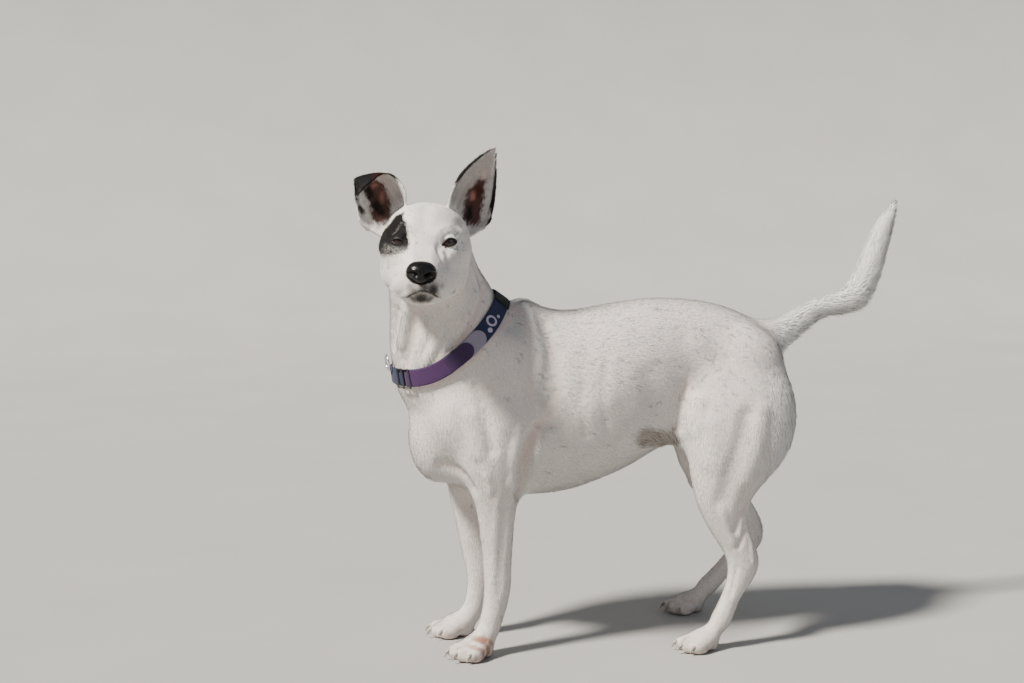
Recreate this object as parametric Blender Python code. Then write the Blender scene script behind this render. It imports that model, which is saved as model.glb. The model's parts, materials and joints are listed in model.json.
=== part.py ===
"""A medium short-haired dog that stands on four feet and looks to its left at the viewer, with a
collar. Metres. The dog faces -X, its left side is -Y, up is +Z, and the soles rest on Z = 0."""

import math

import bmesh
import bpy
import numpy as np
from mathutils import Matrix, Vector
from mathutils.bvhtree import BVHTree

# ------------------------------------------------------------------ sizes of the body
# Moves the dog so that its box stands on the origin.
SHIFT = Vector((-0.06909, 0.04132, 0.0))
GAP = 0.0003

# Upright sections: x, top z, bottom z, half width, z of the widest level, squareness, y.
TRUNK = (
    (-0.222, 0.405, 0.276, 0.050, 0.340, 2.0, 0),
    (-0.200, 0.440, 0.244, 0.068, 0.340, 2.0, 0),
    (-0.170, 0.435, 0.230, 0.082, 0.342, 2.1, 0),
    (-0.132, 0.474, 0.223, 0.089, 0.345, 2.1, 0),
    (-0.098, 0.512, 0.221, 0.093, 0.350, 2.1, 0),
    (-0.060, 0.495, 0.221, 0.098, 0.355, 2.1, 0),
    (-0.020, 0.490, 0.227, 0.102, 0.360, 2.1, 0),
    (0.020, 0.496, 0.240, 0.103, 0.370, 2.1, 0),
    (0.060, 0.502, 0.256, 0.099, 0.385, 2.1, 0),
    (0.100, 0.506, 0.278, 0.090, 0.400, 2.1, 0),
    (0.140, 0.505, 0.296, 0.081, 0.410, 2.1, 0),
    (0.180, 0.500, 0.312, 0.077, 0.415, 2.1, 0),
    (0.215, 0.491, 0.330, 0.073, 0.415, 2.1, 0),
    (0.245, 0.478, 0.350, 0.064, 0.415, 2.0, 0),
    (0.262, 0.466, 0.375, 0.050, 0.415, 2.0, 0),
)
# Sections square to a path: x, y, z, half size fore and aft, half size sideways.
NECK = (
    (-0.165, 0.000, 0.330, 0.078, 0.066),
    (-0.172, 0.000, 0.375, 0.093, 0.076),
    (-0.183, -0.001, 0.420, 0.100, 0.079),
    (-0.1985, -0.005, 0.462, 0.090, 0.077),
    (-0.2105, -0.013, 0.500, 0.0775, 0.071),
    (-0.2215, -0.024, 0.535, 0.0675, 0.067),
    (-0.2275, -0.036, 0.565, 0.0610, 0.060),
    (-0.232, -0.048, 0.590, 0.056, 0.050),
)
FORELEG_LEFT = (
    (-0.132, -0.056, 0.370, 0.064, 0.034),
    (-0.140, -0.064, 0.325, 0.062, 0.035),
    (-0.145, -0.066, 0.285, 0.050, 0.033),
    (-0.143, -0.065, 0.248, 0.038, 0.0285),
    (-0.140, -0.062, 0.215, 0.032, 0.025),
    (-0.1385, -0.059, 0.170, 0.0275, 0.0215),
    (-0.1375, -0.057, 0.130, 0.0245, 0.0195),
    (-0.137, -0.056, 0.100, 0.0235, 0.0205),
    (-0.1400, -0.056, 0.073, 0.0212, 0.0190),
    (-0.1475, -0.058, 0.048, 0.0200, 0.0190),
    (-0.1530, -0.060, 0.030, 0.0200, 0.0200),
)
FORELEG_RIGHT = (
    (-0.140, 0.056, 0.370, 0.064, 0.034),
    (-0.152, 0.063, 0.325, 0.062, 0.035),
    (-0.161, 0.063, 0.285, 0.050, 0.033),
    (-0.163, 0.060, 0.248, 0.038, 0.0285),
    (-0.162, 0.057, 0.215, 0.032, 0.025),
    (-0.157, 0.054, 0.170, 0.0275, 0.0215),
    (-0.1530, 0.052, 0.130, 0.0245, 0.0195),
    (-0.1465, 0.050, 0.100, 0.0235, 0.0205),
    (-0.1470, 0.050, 0.073, 0.0212, 0.0190),
    (-0.1530, 0.050, 0.048, 0.0200, 0.0190),
    (-0.1590, 0.050, 0.030, 0.0200, 0.0200),
)
HINDLEG_LEFT = (
    (0.205, -0.046, 0.405, 0.078, 0.038),
    (0.211, -0.062, 0.360, 0.090, 0.042),
    (0.211, -0.071, 0.318, 0.088, 0.041),
    (0.200, -0.078, 0.280, 0.071, 0.037),
    (0.192, -0.081, 0.250, 0.058, 0.033),
    (0.188, -0.083, 0.222, 0.046, 0.029),
    (0.191, -0.084, 0.195, 0.035, 0.024),
    (0.2015, -0.085, 0.168, 0.0295, 0.0200),
    (0.2135, -0.085, 0.145, 0.0270, 0.0185),
    (0.2190, -0.085, 0.125, 0.0285, 0.0190),
    (0.2130, -0.085, 0.102, 0.0225, 0.0175),
    (0.2020, -0.085, 0.080, 0.0180, 0.0165),
    (0.1930, -0.085, 0.058, 0.0180, 0.0170),
    (0.1830, -0.085, 0.036, 0.0200, 0.0195),
)
HINDLEG_RIGHT = (
    (0.205, 0.046, 0.405, 0.078, 0.038),
    (0.218, 0.063, 0.360, 0.086, 0.042),
    (0.224, 0.076, 0.318, 0.082, 0.041),
    (0.222, 0.086, 0.280, 0.068, 0.037),
    (0.225, 0.094, 0.245, 0.056, 0.033),
    (0.236, 0.102, 0.212, 0.044, 0.029),
    (0.255, 0.109, 0.183, 0.034, 0.024),
    (0.275, 0.114, 0.157, 0.0290, 0.0200),
    (0.291, 0.117, 0.133, 0.0275, 0.0185),
    (0.2935, 0.119, 0.113, 0.0250, 0.0190),
    (0.276, 0.120, 0.091, 0.0205, 0.0175),
    (0.256, 0.120, 0.070, 0.0185, 0.0165),
    (0.237, 0.120, 0.050, 0.0185, 0.0170),
    (0.220, 0.120, 0.034, 0.0195, 0.0190),
)
TAIL = (
    (0.245, 0.000, 0.430, 0.040, 0.036),
    (0.272, 0.000, 0.440, 0.035, 0.031),
    (0.294, 0.000, 0.450, 0.0275, 0.025),
    (0.318, 0.000, 0.4635, 0.0225, 0.021),
    (0.343, 0.000, 0.480, 0.0200, 0.019),
    (0.368, 0.000, 0.489, 0.0190, 0.018),
    (0.392, 0.000, 0.4935, 0.0215, 0.019),
    (0.4150, 0.000, 0.5065, 0.0250, 0.020),
    (0.4300, 0.000, 0.532, 0.0245, 0.020),
    (0.4415, 0.000, 0.564, 0.0225, 0.0190),
    (0.4530, 0.000, 0.597, 0.0200, 0.0170),
    (0.4655, 0.000, 0.624, 0.0150, 0.0130),
    (0.4765, 0.000, 0.646, 0.0098, 0.0088),
    (0.4815, 0.000, 0.656, 0.0070, 0.0062),
)
# Muscles under the skin of each side: centre, radii, turns about X, Y and Z in degrees.
MUSCLES = (
    ((-0.122, 0.058, 0.395), (0.056, 0.031, 0.085), (-8, -28, 0)),
    ((-0.186, 0.052, 0.343), (0.048, 0.038, 0.058), (0, 0, 0)),
    ((0.225, 0.046, 0.400), (0.066, 0.042, 0.072), (0, 0, 0)),
)
BREAST = ((-0.198, 0.0, 0.330), (0.059, 0.060, 0.092), (0, 14, 0))

# Each paw: x and y of the foot of its leg, heading outwards in degrees, size.
PAWS = {
    "forepaw_left": (-0.154, -0.062, 22, 1.0),
    "forepaw_right": (-0.164, 0.050, 2, 1.0),
    "hindpaw_left": (0.174, -0.085, 8, 0.95),
    "hindpaw_right": (0.212, 0.120, -4, 0.95),
}
PAW_SINK = -0.0012
# A paw's toes and pads, which head for -X: centre, radii, turn about Z.
TOES = (
    ((-0.0420, -0.0100, 0.0125), (0.0180, 0.0098, 0.0130), 4),
    ((-0.0420, 0.0100, 0.0125), (0.0180, 0.0098, 0.0130), -4),
    ((-0.0290, -0.0220, 0.0115), (0.0175, 0.0092, 0.0120), 14),
    ((-0.0290, 0.0220, 0.0115), (0.0175, 0.0092, 0.0120), -14),
)
PAW_BODY = (
    ((-0.0150, 0.0, 0.0190), (0.0260, 0.0235, 0.0175), 0),
    ((-0.0040, 0.0, 0.0080), (0.0150, 0.0175, 0.0105), 0),
)
CLAW_LENGTH = 0.0075
CLAW_RADIUS = 0.0030

# ------------------------------------------------------------------ sizes of the head
# The head's own frame: its origin is midway between the eyes, and it also faces -X.
EYES_AT = Vector((-0.2507, -0.1350, 0.5970))
HEAD_YAW = 82.0
HEAD_PITCH = 5.0
HEAD_ROLL = 2.6
HEAD = (
    (-0.073, -0.018, -0.069, 0.0265, -0.044, 2.3, 0.0000),
    (-0.065, -0.0135, -0.0745, 0.0315, -0.046, 2.4, 0.0000),
    (-0.052, -0.0105, -0.078, 0.0345, -0.048, 2.4, 0.0000),
    (-0.038, -0.0075, -0.081, 0.0375, -0.048, 2.3, -0.0003),
    (-0.024, 0.0000, -0.084, 0.0425, -0.044, 2.3, -0.0010),
    (-0.011, 0.0135, -0.086, 0.0480, -0.036, 2.3, -0.0018),
    (0.003, 0.0265, -0.088, 0.0535, -0.030, 2.3, -0.0025),
    (0.020, 0.0370, -0.089, 0.0595, -0.024, 2.3, -0.0030),
    (0.042, 0.0445, -0.086, 0.0630, -0.016, 2.3, -0.0030),
    (0.068, 0.0450, -0.077, 0.0590, -0.010, 2.2, -0.0030),
    (0.092, 0.0380, -0.062, 0.0480, -0.004, 2.1, -0.0030),
    (0.106, 0.0260, -0.046, 0.0360, -0.004, 2.0, -0.0030),
)
EYE_LEFT = (-0.0010, -0.0322, -0.0030)
EYE_RIGHT = (0.0025, 0.0308, -0.0030)
EYE_RADIUS = 0.0115
NOSE = (-0.0820, 0.0, -0.0295)
NOSE_RADII = (0.0165, 0.0195, 0.0155)
NOSTRIL = (-0.0985, 0.0085, -0.0320)
NOSTRIL_RADII = (0.0075, 0.0034, 0.0042)
# Shapes pressed into the head or raised on it: path on the left side, reach, height.
FACE = (
    (((-0.002, 0.0325, -0.003), (-0.016, 0.023, -0.008)), 0.018, -0.0045),
    (((-0.012, 0.022, 0.013), (0.004, 0.034, 0.017), (0.016, 0.045, 0.010)), 0.015, 0.0030),
    (((-0.006, 0.000, 0.022), (0.030, 0.000, 0.045)), 0.016, -0.0020),
    (((0.000, 0.050, -0.018), (0.030, 0.064, -0.014)), 0.020, 0.0025),
    (((0.020, 0.054, -0.062), (0.040, 0.056, -0.062)), 0.030, 0.0040),
    (((-0.060, 0.033, -0.056), (-0.040, 0.037, -0.060)), 0.018, 0.0030),
    (((-0.030, 0.030, -0.030), (-0.012, 0.040, -0.036)), 0.016, -0.0025),
)

# Ears, in the head's frame: inner edge, outer edge and depth of the cup, from root to tip.
EAR_LEFT = (
    ((0.052, -0.030, 0.026), (0.082, -0.050, -0.014), 0.014),
    ((0.050, -0.032, 0.048), (0.083, -0.075, 0.002), 0.021),
    ((0.050, -0.035, 0.063), (0.082, -0.0905, 0.018), 0.023),
    ((0.052, -0.043, 0.081), (0.078, -0.096, 0.041), 0.020),
    ((0.054, -0.053, 0.095), (0.074, -0.0975, 0.065), 0.015),
    ((0.056, -0.066, 0.108), (0.068, -0.097, 0.089), 0.009),
    ((0.058, -0.0796, 0.118), (0.063, -0.096, 0.107), 0.004),
    ((0.060, -0.0905, 0.1235), (0.0605, -0.0945, 0.1205), 0.001),
)
EAR_RIGHT = (
    ((0.052, 0.025, 0.024), (0.082, 0.048, -0.016), 0.014),
    ((0.050, 0.026, 0.044), (0.084, 0.070, -0.005), 0.021),
    ((0.050, 0.027, 0.058), (0.082, 0.089, 0.007), 0.023),
    ((0.053, 0.033, 0.070), (0.077, 0.096, 0.032), 0.019),
    ((0.056, 0.043, 0.080), (0.072, 0.0985, 0.055), 0.011),
    ((0.052, 0.053, 0.0825), (0.062, 0.0990, 0.070), 0.003),
    ((0.040, 0.061, 0.0810), (0.048, 0.0975, 0.0695), 0.0025),
    ((0.030, 0.071, 0.0730), (0.036, 0.095, 0.0635), 0.002),
    ((0.024, 0.081, 0.0640), (0.028, 0.0925, 0.0580), 0.0015),
    ((0.0205, 0.0875, 0.0560), (0.0215, 0.0910, 0.0535), 0.001),
)
EAR_THICK = 0.0042

# ------------------------------------------------------------------ sizes of the collar
COLLAR_CENTRE = Vector((-0.2095, -0.003, 0.440))
COLLAR_HALF_LENGTH = 0.0700
COLLAR_HALF_WIDTH = 0.080
COLLAR_MIDDLE = 0.453
COLLAR_SLOPE = 0.052
COLLAR_SAG = 0.032
COLLAR_STEPS = 60
WEBBING = 0.025
ACROSS = (-1, -0.5, 0, 0.5, 1)
# Layers of the collar, as heights over the coat.
BAND_LAYER = (0.0012, 0.0032)
LOW_LAYER = (0.0035, 0.0048)
TOP_LAYER = (0.0051, 0.0064)
# Where each layer lies, in degrees from the nape towards the throat by the left side.
KEEPER = (12, 24)
SLEEVE = (60, 78)
TAB = (72, 90)
STRAP = (90, 144)
SLIDE = (138, 156)
RING = 174
RING_RADIUS = 0.0110
RING_WIRE = 0.0013

# ------------------------------------------------------------------ fineness
VOXEL = 0.0034
HEAD_SHARE = 0.052
PAW_SHARE = 0.034
COARSE_SHARE = 0.0170
RING_SIDES = 28
ROWS_PER_SPAN = 5
CAP_ROWS = 5

WHITE_COAT = (0.80, 0.78, 0.75)
EAR_SKIN = (0.22, 0.11, 0.10)
EYE_BROWN = (0.06, 0.03, 0.015)
NOSE_BLACK = (0.02, 0.018, 0.018)
PURPLE = (0.16, 0.05, 0.20)
NAVY = (0.02, 0.03, 0.10)
GREY_MAUVE = (0.45, 0.38, 0.45)
BLACK = (0.02, 0.02, 0.02)
STEEL = (0.60, 0.60, 0.62)

# ------------------------------------------------------------------ shapes
def linked(name, mesh):
    made = bpy.data.objects.new(name, mesh)
    bpy.context.scene.collection.objects.link(made)
    return made


def from_bmesh(name, bm):
    mesh = bpy.data.meshes.new(name)
    bm.to_mesh(mesh)
    bm.free()
    return linked(name, mesh)


def through(stations, per_span=ROWS_PER_SPAN):
    """Rows of a Catmull-Rom curve through the stations, column by column."""
    rows = np.array(stations, float)
    ends = np.vstack([2 * rows[0] - rows[1], rows, 2 * rows[-1] - rows[-2]])
    made = []
    for i in range(len(rows) - 1):
        a, b, c, d = ends[i : i + 4]
        for k in range(per_span):
            t = k / per_span
            bend = (2 * a - 5 * b + 4 * c - d) * t**2 + (3 * b - a - 3 * c + d) * t**3
            made.append(b + 0.5 * ((c - a) * t + bend))
    return np.array(made + [rows[-1]])


def skin_rings(name, rings):
    """A closed mesh through rings of equally many points, with filled ends."""
    bm = bmesh.new()
    rows = [[bm.verts.new(point) for point in ring] for ring in rings]
    sides = len(rows[0])
    for low, high in zip(rows, rows[1:]):
        for i in range(sides):
            j = (i + 1) % sides
            bm.faces.new((low[i], low[j], high[j], high[i]))
    bm.faces.new(rows[0][::-1])
    bm.faces.new(rows[-1])
    bmesh.ops.recalc_face_normals(bm, faces=bm.faces)
    return from_bmesh(name, bm)


def domed(rings, length):
    """Rings that shrink past both ends, so that the shape ends in a dome."""

    def dome(end, inner):
        centre = sum(end, Vector()) / len(end)
        out = (centre - sum(inner, Vector()) / len(inner)).normalized()
        out *= sum((p - centre).length for p in end) / len(end) * length
        turns = [math.pi / 2 * k / CAP_ROWS for k in range(1, CAP_ROWS)]
        return [
            [centre + (p - centre) * math.cos(turn) + out * math.sin(turn) for p in end]
            for turn in turns
        ]

    return dome(rings[0], rings[1])[::-1] + rings + dome(rings[-1], rings[-2])


def rounded(value, squareness):
    return math.copysign(abs(value) ** (2 / squareness), value)


def barrel(name, stations, place=Matrix.Identity(4)):
    """Upright sections along X, as in TRUNK and HEAD."""
    rings = []
    for x, top, bottom, half, wide, square, middle in through(stations):
        ring = []
        for i in range(RING_SIDES):
            turn = 2 * math.pi * i / RING_SIDES
            rise = top - wide if math.sin(turn) > 0 else wide - bottom
            y = middle + half * rounded(math.cos(turn), square)
            ring.append(place @ Vector((x, y, wide + rise * rounded(math.sin(turn), square))))
        rings.append(ring)
    return skin_rings(name, domed(rings, 0.6))


def limb(name, stations, dome=0.7):
    """Sections square to a path, as in NECK and TAIL."""
    rows = through(stations)
    centres = [Vector(row[:3]) for row in rows]
    rings = []
    for i, row in enumerate(rows):
        along = (centres[min(i + 1, len(rows) - 1)] - centres[max(i - 1, 0)]).normalized()
        side = (Vector((0, 1, 0)) - along * along.y).normalized()
        fore = along.cross(side)
        turns = [2 * math.pi * k / RING_SIDES for k in range(RING_SIDES)]
        rings.append(
            [
                centres[i] + fore * (row[3] * math.cos(turn)) + side * (row[4] * math.sin(turn))
                for turn in turns
            ]
        )
    return skin_rings(name, domed(rings, dome))


def lump(name, centre, radii, turns=(0, 0, 0), place=Matrix.Identity(4), fineness=4):
    """An ellipsoid, turned by degrees about X, then Y, then Z."""
    spin = Matrix.Identity(4)
    for axis, angle in zip("XYZ", turns):
        spin = Matrix.Rotation(math.radians(angle), 4, axis) @ spin
    bm = bmesh.new()
    bmesh.ops.create_icosphere(bm, subdivisions=fineness, radius=1.0)
    bm.transform(place @ Matrix.Translation(centre) @ spin @ Matrix.Diagonal((*radii, 1)))
    return from_bmesh(name, bm)


def ear_shell(name, rows, thick, place, steps=6, per_span=2):
    """A cupped ear: each row is half an ellipse from its inner edge to its outer edge."""
    table = [[*inner, *outer, cup] for inner, outer, cup in rows]
    rows = through(table, per_span)
    middles = (rows[:, :3] + rows[:, 3:6]) / 2
    back_before = None
    rings = []
    for i, row in enumerate(rows):
        across = Vector(row[:3] - row[3:6]) / 2
        along = Vector(middles[min(i + 1, len(rows) - 1)] - middles[max(i - 1, 0)])
        back = across.cross(along).normalized()
        if back_before is None:
            back_before = Vector((1, 0, 0))
        if back.dot(back_before) < 0:
            back = -back
        back_before = back
        half = across.length
        wall = min(thick, half * 0.45)
        cup = max(row[6], wall * 1.2)
        outside, inside = [], []
        for k in range(steps + 1):
            turn = math.pi * k / steps
            run, rise = math.cos(turn), math.sin(turn)
            outside.append(across * run + back * (cup * rise))
            inside.append(across * (run * (half - wall) / half) + back * ((cup - wall) * rise))
        middle = Vector(middles[i])
        rings.append([place @ (middle + p) for p in outside + inside[::-1]])
    return skin_rings(name, rings)


# ------------------------------------------------------------------ joining and cutting
def joined(name, pieces):
    bm = bmesh.new()
    for piece in pieces:
        bm.from_mesh(piece.data)
        bpy.data.objects.remove(piece)
    return from_bmesh(name, bm)


def settled(piece):
    """The piece with its modifiers applied."""
    graph = bpy.context.evaluated_depsgraph_get()
    mesh = bpy.data.meshes.new_from_object(piece.evaluated_get(graph), depsgraph=graph)
    piece.modifiers.clear()
    piece.data = mesh
    return piece


def voxels(piece, size):
    union = piece.modifiers.new("union", "REMESH")
    union.mode = "VOXEL"
    union.voxel_size = size


def grown(piece, distance):
    growth = piece.modifiers.new("growth", "DISPLACE")
    growth.strength = distance
    growth.mid_level = 0


def relaxed(piece, steps):
    relaxation = piece.modifiers.new("relaxation", "SMOOTH")
    relaxation.factor = 0.5
    relaxation.iterations = steps


def blended(name, pieces, voxel, fillet, steps):
    """The union of the pieces, its inner corners filled to about this radius."""
    whole = joined(name, pieces)
    voxels(whole, voxel)
    relaxed(whole, 2)
    grown(whole, fillet)
    voxels(whole, voxel)
    relaxed(whole, 3)
    grown(whole, -fillet)
    voxels(whole, voxel)
    relaxed(whole, steps)
    return settled(whole)


def copied(piece, name):
    return linked(name, piece.data.copy())


def thinned(piece, share):
    fewer = piece.modifiers.new("fewer", "DECIMATE")
    fewer.ratio = share
    return settled(piece)


def boolean(piece, operation, tool):
    step = piece.modifiers.new(operation.lower(), "BOOLEAN")
    step.operation = operation
    step.solver = "EXACT"
    step.object = tool
    return settled(piece)


def dropped(*tools):
    for tool in tools:
        bpy.data.objects.remove(tool)


def block(name, place, low, high):
    """A box between two corners of its own frame."""
    low, high = Vector(low), Vector(high)
    bm = bmesh.new()
    bmesh.ops.create_cube(bm, size=1.0)
    bm.transform(place @ Matrix.Translation((low + high) / 2) @ Matrix.Diagonal((*(high - low), 1)))
    return from_bmesh(name, bm)


def facing(point, normal):
    """A frame at the point whose Z is the normal."""
    return Matrix.Translation(point) @ Vector(normal).to_track_quat("Z", "X").to_matrix().to_4x4()


# ------------------------------------------------------------------ pressing and raising
def coordinates(mesh):
    found = np.empty(len(mesh.vertices) * 3)
    mesh.vertices.foreach_get("co", found)
    return found.reshape(-1, 3)


def normals(mesh):
    found = np.empty(len(mesh.vertices) * 3, np.float32)
    mesh.vertices.foreach_get("normal", found)
    return found.reshape(-1, 3).astype(float)


def distance_to(points, path):
    best = np.full(len(points), np.inf)
    for a, b in zip(path, path[1:]):
        run = b - a
        share = np.clip((points - a) @ run / (run @ run), 0, 1)
        best = np.minimum(best, np.linalg.norm(points - a - share[:, None] * run, axis=1))
    return best


def stroke(piece, path, reach, height, place):
    """Raises the surface along a path or, with a height below 0, presses it in."""
    path = np.array([place @ Vector(point) for point in path])
    points = coordinates(piece.data)
    share = np.clip(1 - distance_to(points, path) / reach, 0, 1)
    lift = share * share * (3 - 2 * share) * height
    points += normals(piece.data) * lift[:, None]
    piece.data.vertices.foreach_set("co", points.ravel())
    piece.data.update()


def mirrored(path):
    return [(x, -y, z) for x, y, z in path]


# ------------------------------------------------------------------ the dog
def turn_of_head():
    turn = Matrix.Rotation(math.radians(HEAD_YAW), 4, "Z")
    turn = turn @ Matrix.Rotation(math.radians(-HEAD_PITCH), 4, "Y")
    return Matrix.Translation(EYES_AT) @ turn @ Matrix.Rotation(math.radians(HEAD_ROLL), 4, "X")


def place_of_paw(name):
    x, y, heading, size = PAWS[name]
    side = 1 if name.endswith("left") else -1
    turn = Matrix.Rotation(math.radians(side * heading), 4, "Z")
    return Matrix.Translation((x, y, PAW_SINK)) @ turn @ Matrix.Scale(size, 4)


def whole_dog():
    pieces = [barrel("trunk", TRUNK), limb("tail", TAIL)]
    for leg in (FORELEG_LEFT, FORELEG_RIGHT, HINDLEG_LEFT, HINDLEG_RIGHT):
        pieces.append(limb("leg", leg))
    pieces.append(lump("breast", *BREAST))
    for (x, y, z), radii, (roll, pitch, yaw) in MUSCLES:
        pieces.append(lump("muscle", (x, y, z), radii, (roll, pitch, yaw)))
        pieces.append(lump("muscle", (x, -y, z), radii, (-roll, pitch, -yaw)))
    body = blended("body", pieces, VOXEL * 1.3, 0.020, 6)
    body = blended("body", [body, limb("neck", NECK, 0.3)], VOXEL * 1.2, 0.011, 6)
    pieces = [body, barrel("head", HEAD, HEAD_PLACE)]
    for name in PAWS:
        for centre, radii, turn in PAW_BODY:
            pieces.append(lump("pad", centre, radii, (0, 0, turn), place_of_paw(name)))
    return blended("dog", pieces, VOXEL, 0.007, 5)


def with_toes(dog):
    pieces = [dog]
    for name in PAWS:
        for centre, radii, turn in TOES:
            pieces.append(lump("toe", centre, radii, (0, 0, turn), place_of_paw(name)))
    return blended("dog", pieces, VOXEL, 0.002, 2)


def with_face(dog):
    for path, reach, height in FACE:
        stroke(dog, mirrored(path), reach, height, HEAD_PLACE)
        if any(abs(y) > 1e-6 for _, y, _ in path):
            stroke(dog, path, reach, height, HEAD_PLACE)
    return dog


def claw(name, centre, radii, turn, place):
    """A curved, tapering claw at the tip of one toe."""
    heading = Matrix.Rotation(math.radians(turn), 4, "Z")
    tip = Vector(centre) + heading @ Vector((-radii[0] * 0.80, 0, 0.001))
    rings = []
    for share in (0, 0.5, 1):
        middle = tip + heading @ Vector((-CLAW_LENGTH * share * 0.86, 0, 0.001 - 0.0085 * share * share))
        size = CLAW_RADIUS * (1 - 0.72 * share)
        turns = [2 * math.pi * k / 6 for k in range(6)]
        rings.append(
            [
                place @ (middle + heading @ Vector((0, size * 0.8 * math.cos(a), size * math.sin(a))))
                for a in turns
            ]
        )
    return skin_rings(name, rings)


# ------------------------------------------------------------------ the collar
def collar_path(tree):
    """Frames round the neck where the webbing's middle lies: place, direction, up and out."""
    points, outs = [], []
    for i in range(COLLAR_STEPS):
        turn = 2 * math.pi * i / COLLAR_STEPS
        z = COLLAR_MIDDLE + COLLAR_SLOPE * math.cos(turn) - COLLAR_SAG * math.sin(turn) ** 2
        aim = Vector((COLLAR_CENTRE.x + COLLAR_HALF_LENGTH * math.cos(turn), 0, z))
        aim.y = -COLLAR_HALF_WIDTH * math.sin(turn)
        origin = COLLAR_CENTRE + Vector((0, 0, (z - COLLAR_CENTRE.z) * 0.6))
        point, normal, _, _ = tree.ray_cast(origin, (aim - origin).normalized())
        points.append(point)
        outs.append(normal)
    points, outs = evened(points, 3), evened(outs, 6)
    middles, ups, bulges = [], [], []
    for i, point in enumerate(points):
        along = (points[(i + 1) % COLLAR_STEPS] - points[i - 1]).normalized()
        out = (outs[i] - along * outs[i].dot(along)).normalized()
        up = along.cross(out) * (WEBBING / 2)
        low, *between, high = (landed(tree, point + up * share, out) for share in ACROSS)
        straight = (low + high) / 2
        bulges.append(max(0, *((place - straight).dot(out) for place in between)))
        middles.append(straight)
        ups.append((high - low).normalized())
    for i, out in enumerate(outs):
        middles[i] += out * max(bulges[i - 1], bulges[i], bulges[(i + 1) % COLLAR_STEPS])
    middles, ups = evened(middles, 2), evened(ups, 4)
    frames = []
    for i, middle in enumerate(middles):
        along = (middles[(i + 1) % COLLAR_STEPS] - middles[i - 1]).normalized()
        out = ups[i].cross(along).normalized()
        frames.append((middle, along, along.cross(out), out))
    return frames


def landed(tree, point, out):
    """The surface under a point, seen from outside."""
    place, _, _, _ = tree.ray_cast(point + out * 0.03, -out)
    return place


def evened(values, steps):
    """Evens out values that run round a ring."""
    for _ in range(steps):
        before = values[-1:] + values[:-1]
        after = values[1:] + values[:1]
        values = [(a + b * 2 + c) / 4 for a, b, c in zip(before, values, after)]
    return values


def strip_ring(frame, width, low, high):
    """A section of webbing at one frame, its outer corners eased."""
    point, _, up, out = frame
    edge = low + (high - low) * 0.6
    corners = ((-1, low), (1, low), (1, edge), (0.88, high), (-0.88, high), (-1, edge))
    return [point + up * (across * width / 2) + out * height for across, height in corners]


def loop(name, frames, width, layer):
    """A closed band round the neck."""
    bm = bmesh.new()
    corners = (0, 1, 3, 4)
    rings = [strip_ring(frame, width, *layer) for frame in frames]
    rows = [[bm.verts.new(ring[corner]) for corner in corners] for ring in rings]
    for low, high in zip(rows, rows[1:] + rows[:1]):
        for k in range(len(low)):
            j = (k + 1) % len(low)
            bm.faces.new((low[k], low[j], high[j], high[k]))
    bmesh.ops.recalc_face_normals(bm, faces=bm.faces)
    return from_bmesh(name, bm)


def strip(name, frames, span, width, layer, round_ends=(False, False)):
    """A length of webbing on the collar, which can narrow to a rounded end."""
    first, last = (round(angle * COLLAR_STEPS / 360) for angle in span)
    chosen = frames[first : last + 1]
    rings = [strip_ring(frame, width, *layer) for frame in chosen]
    for end, (narrow, at, way) in zip(round_ends, ((True, 0, -1), (True, -1, 1))):
        if not end:
            continue
        point, along, up, out = chosen[at]
        tips = []
        for turn in (30, 55, 75):
            shift = along * (way * width / 2 * math.sin(math.radians(turn)))
            narrowed = width * math.cos(math.radians(turn))
            tips.append(strip_ring((point + shift, along, up, out), narrowed, *layer))
        rings = rings + tips if at else tips[::-1] + rings
    return skin_rings(name, rings)


def torus(name, place, radius, wire, around=16, about=6):
    """A ring of round wire in the frame's XY plane."""
    bm = bmesh.new()
    rows = []
    for i in range(around):
        turn = Matrix.Rotation(2 * math.pi * i / around, 4, "Z")
        angles = [2 * math.pi * k / about for k in range(about)]
        section = [Vector((radius + wire * math.cos(a), 0, wire * math.sin(a))) for a in angles]
        rows.append([bm.verts.new(place @ turn @ point) for point in section])
    for low, high in zip(rows, rows[1:] + rows[:1]):
        for k in range(about):
            j = (k + 1) % about
            bm.faces.new((low[k], low[j], high[j], high[k]))
    bmesh.ops.recalc_face_normals(bm, faces=bm.faces)
    return from_bmesh(name, bm)


def frame_matrix(frame, rise=0.0, height=0.0):
    """A frame of the collar as a matrix: X along it, Y up, Z out."""
    point, along, up, out = frame
    turn = Matrix((along, up, out)).transposed().to_4x4()
    return Matrix.Translation(point + up * rise + out * height) @ turn


# ------------------------------------------------------------------ building
def coloured(piece, name, colour, roughness, metallic=0.0):
    material = bpy.data.materials.new(name)
    material.use_nodes = True
    shader = material.node_tree.nodes["Principled BSDF"]
    shader.inputs["Base Color"].default_value = (*colour, 1)
    shader.inputs["Roughness"].default_value = roughness
    shader.inputs["Metallic"].default_value = metallic
    piece.data.materials.clear()
    piece.data.materials.append(material)
    piece.name = name


def parted(source, name, place, low, high, takes=()):
    """The source inside a box, less each of the boxes that other nodes take, with a gap."""
    piece = copied(source, name)
    tool = block("tool", place, low, high)
    boolean(piece, "INTERSECT", tool)
    dropped(tool)
    for other_place, other_low, other_high in takes:
        gap = Vector((GAP, GAP, GAP))
        tool = block("tool", other_place, Vector(other_low) - gap, Vector(other_high) + gap)
        boolean(piece, "DIFFERENCE", tool)
        dropped(tool)
    return piece


for leftover in list(bpy.data.objects):
    bpy.data.objects.remove(leftover)

HEAD_PLACE = turn_of_head()
dog = with_face(with_toes(whole_dog()))

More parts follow.
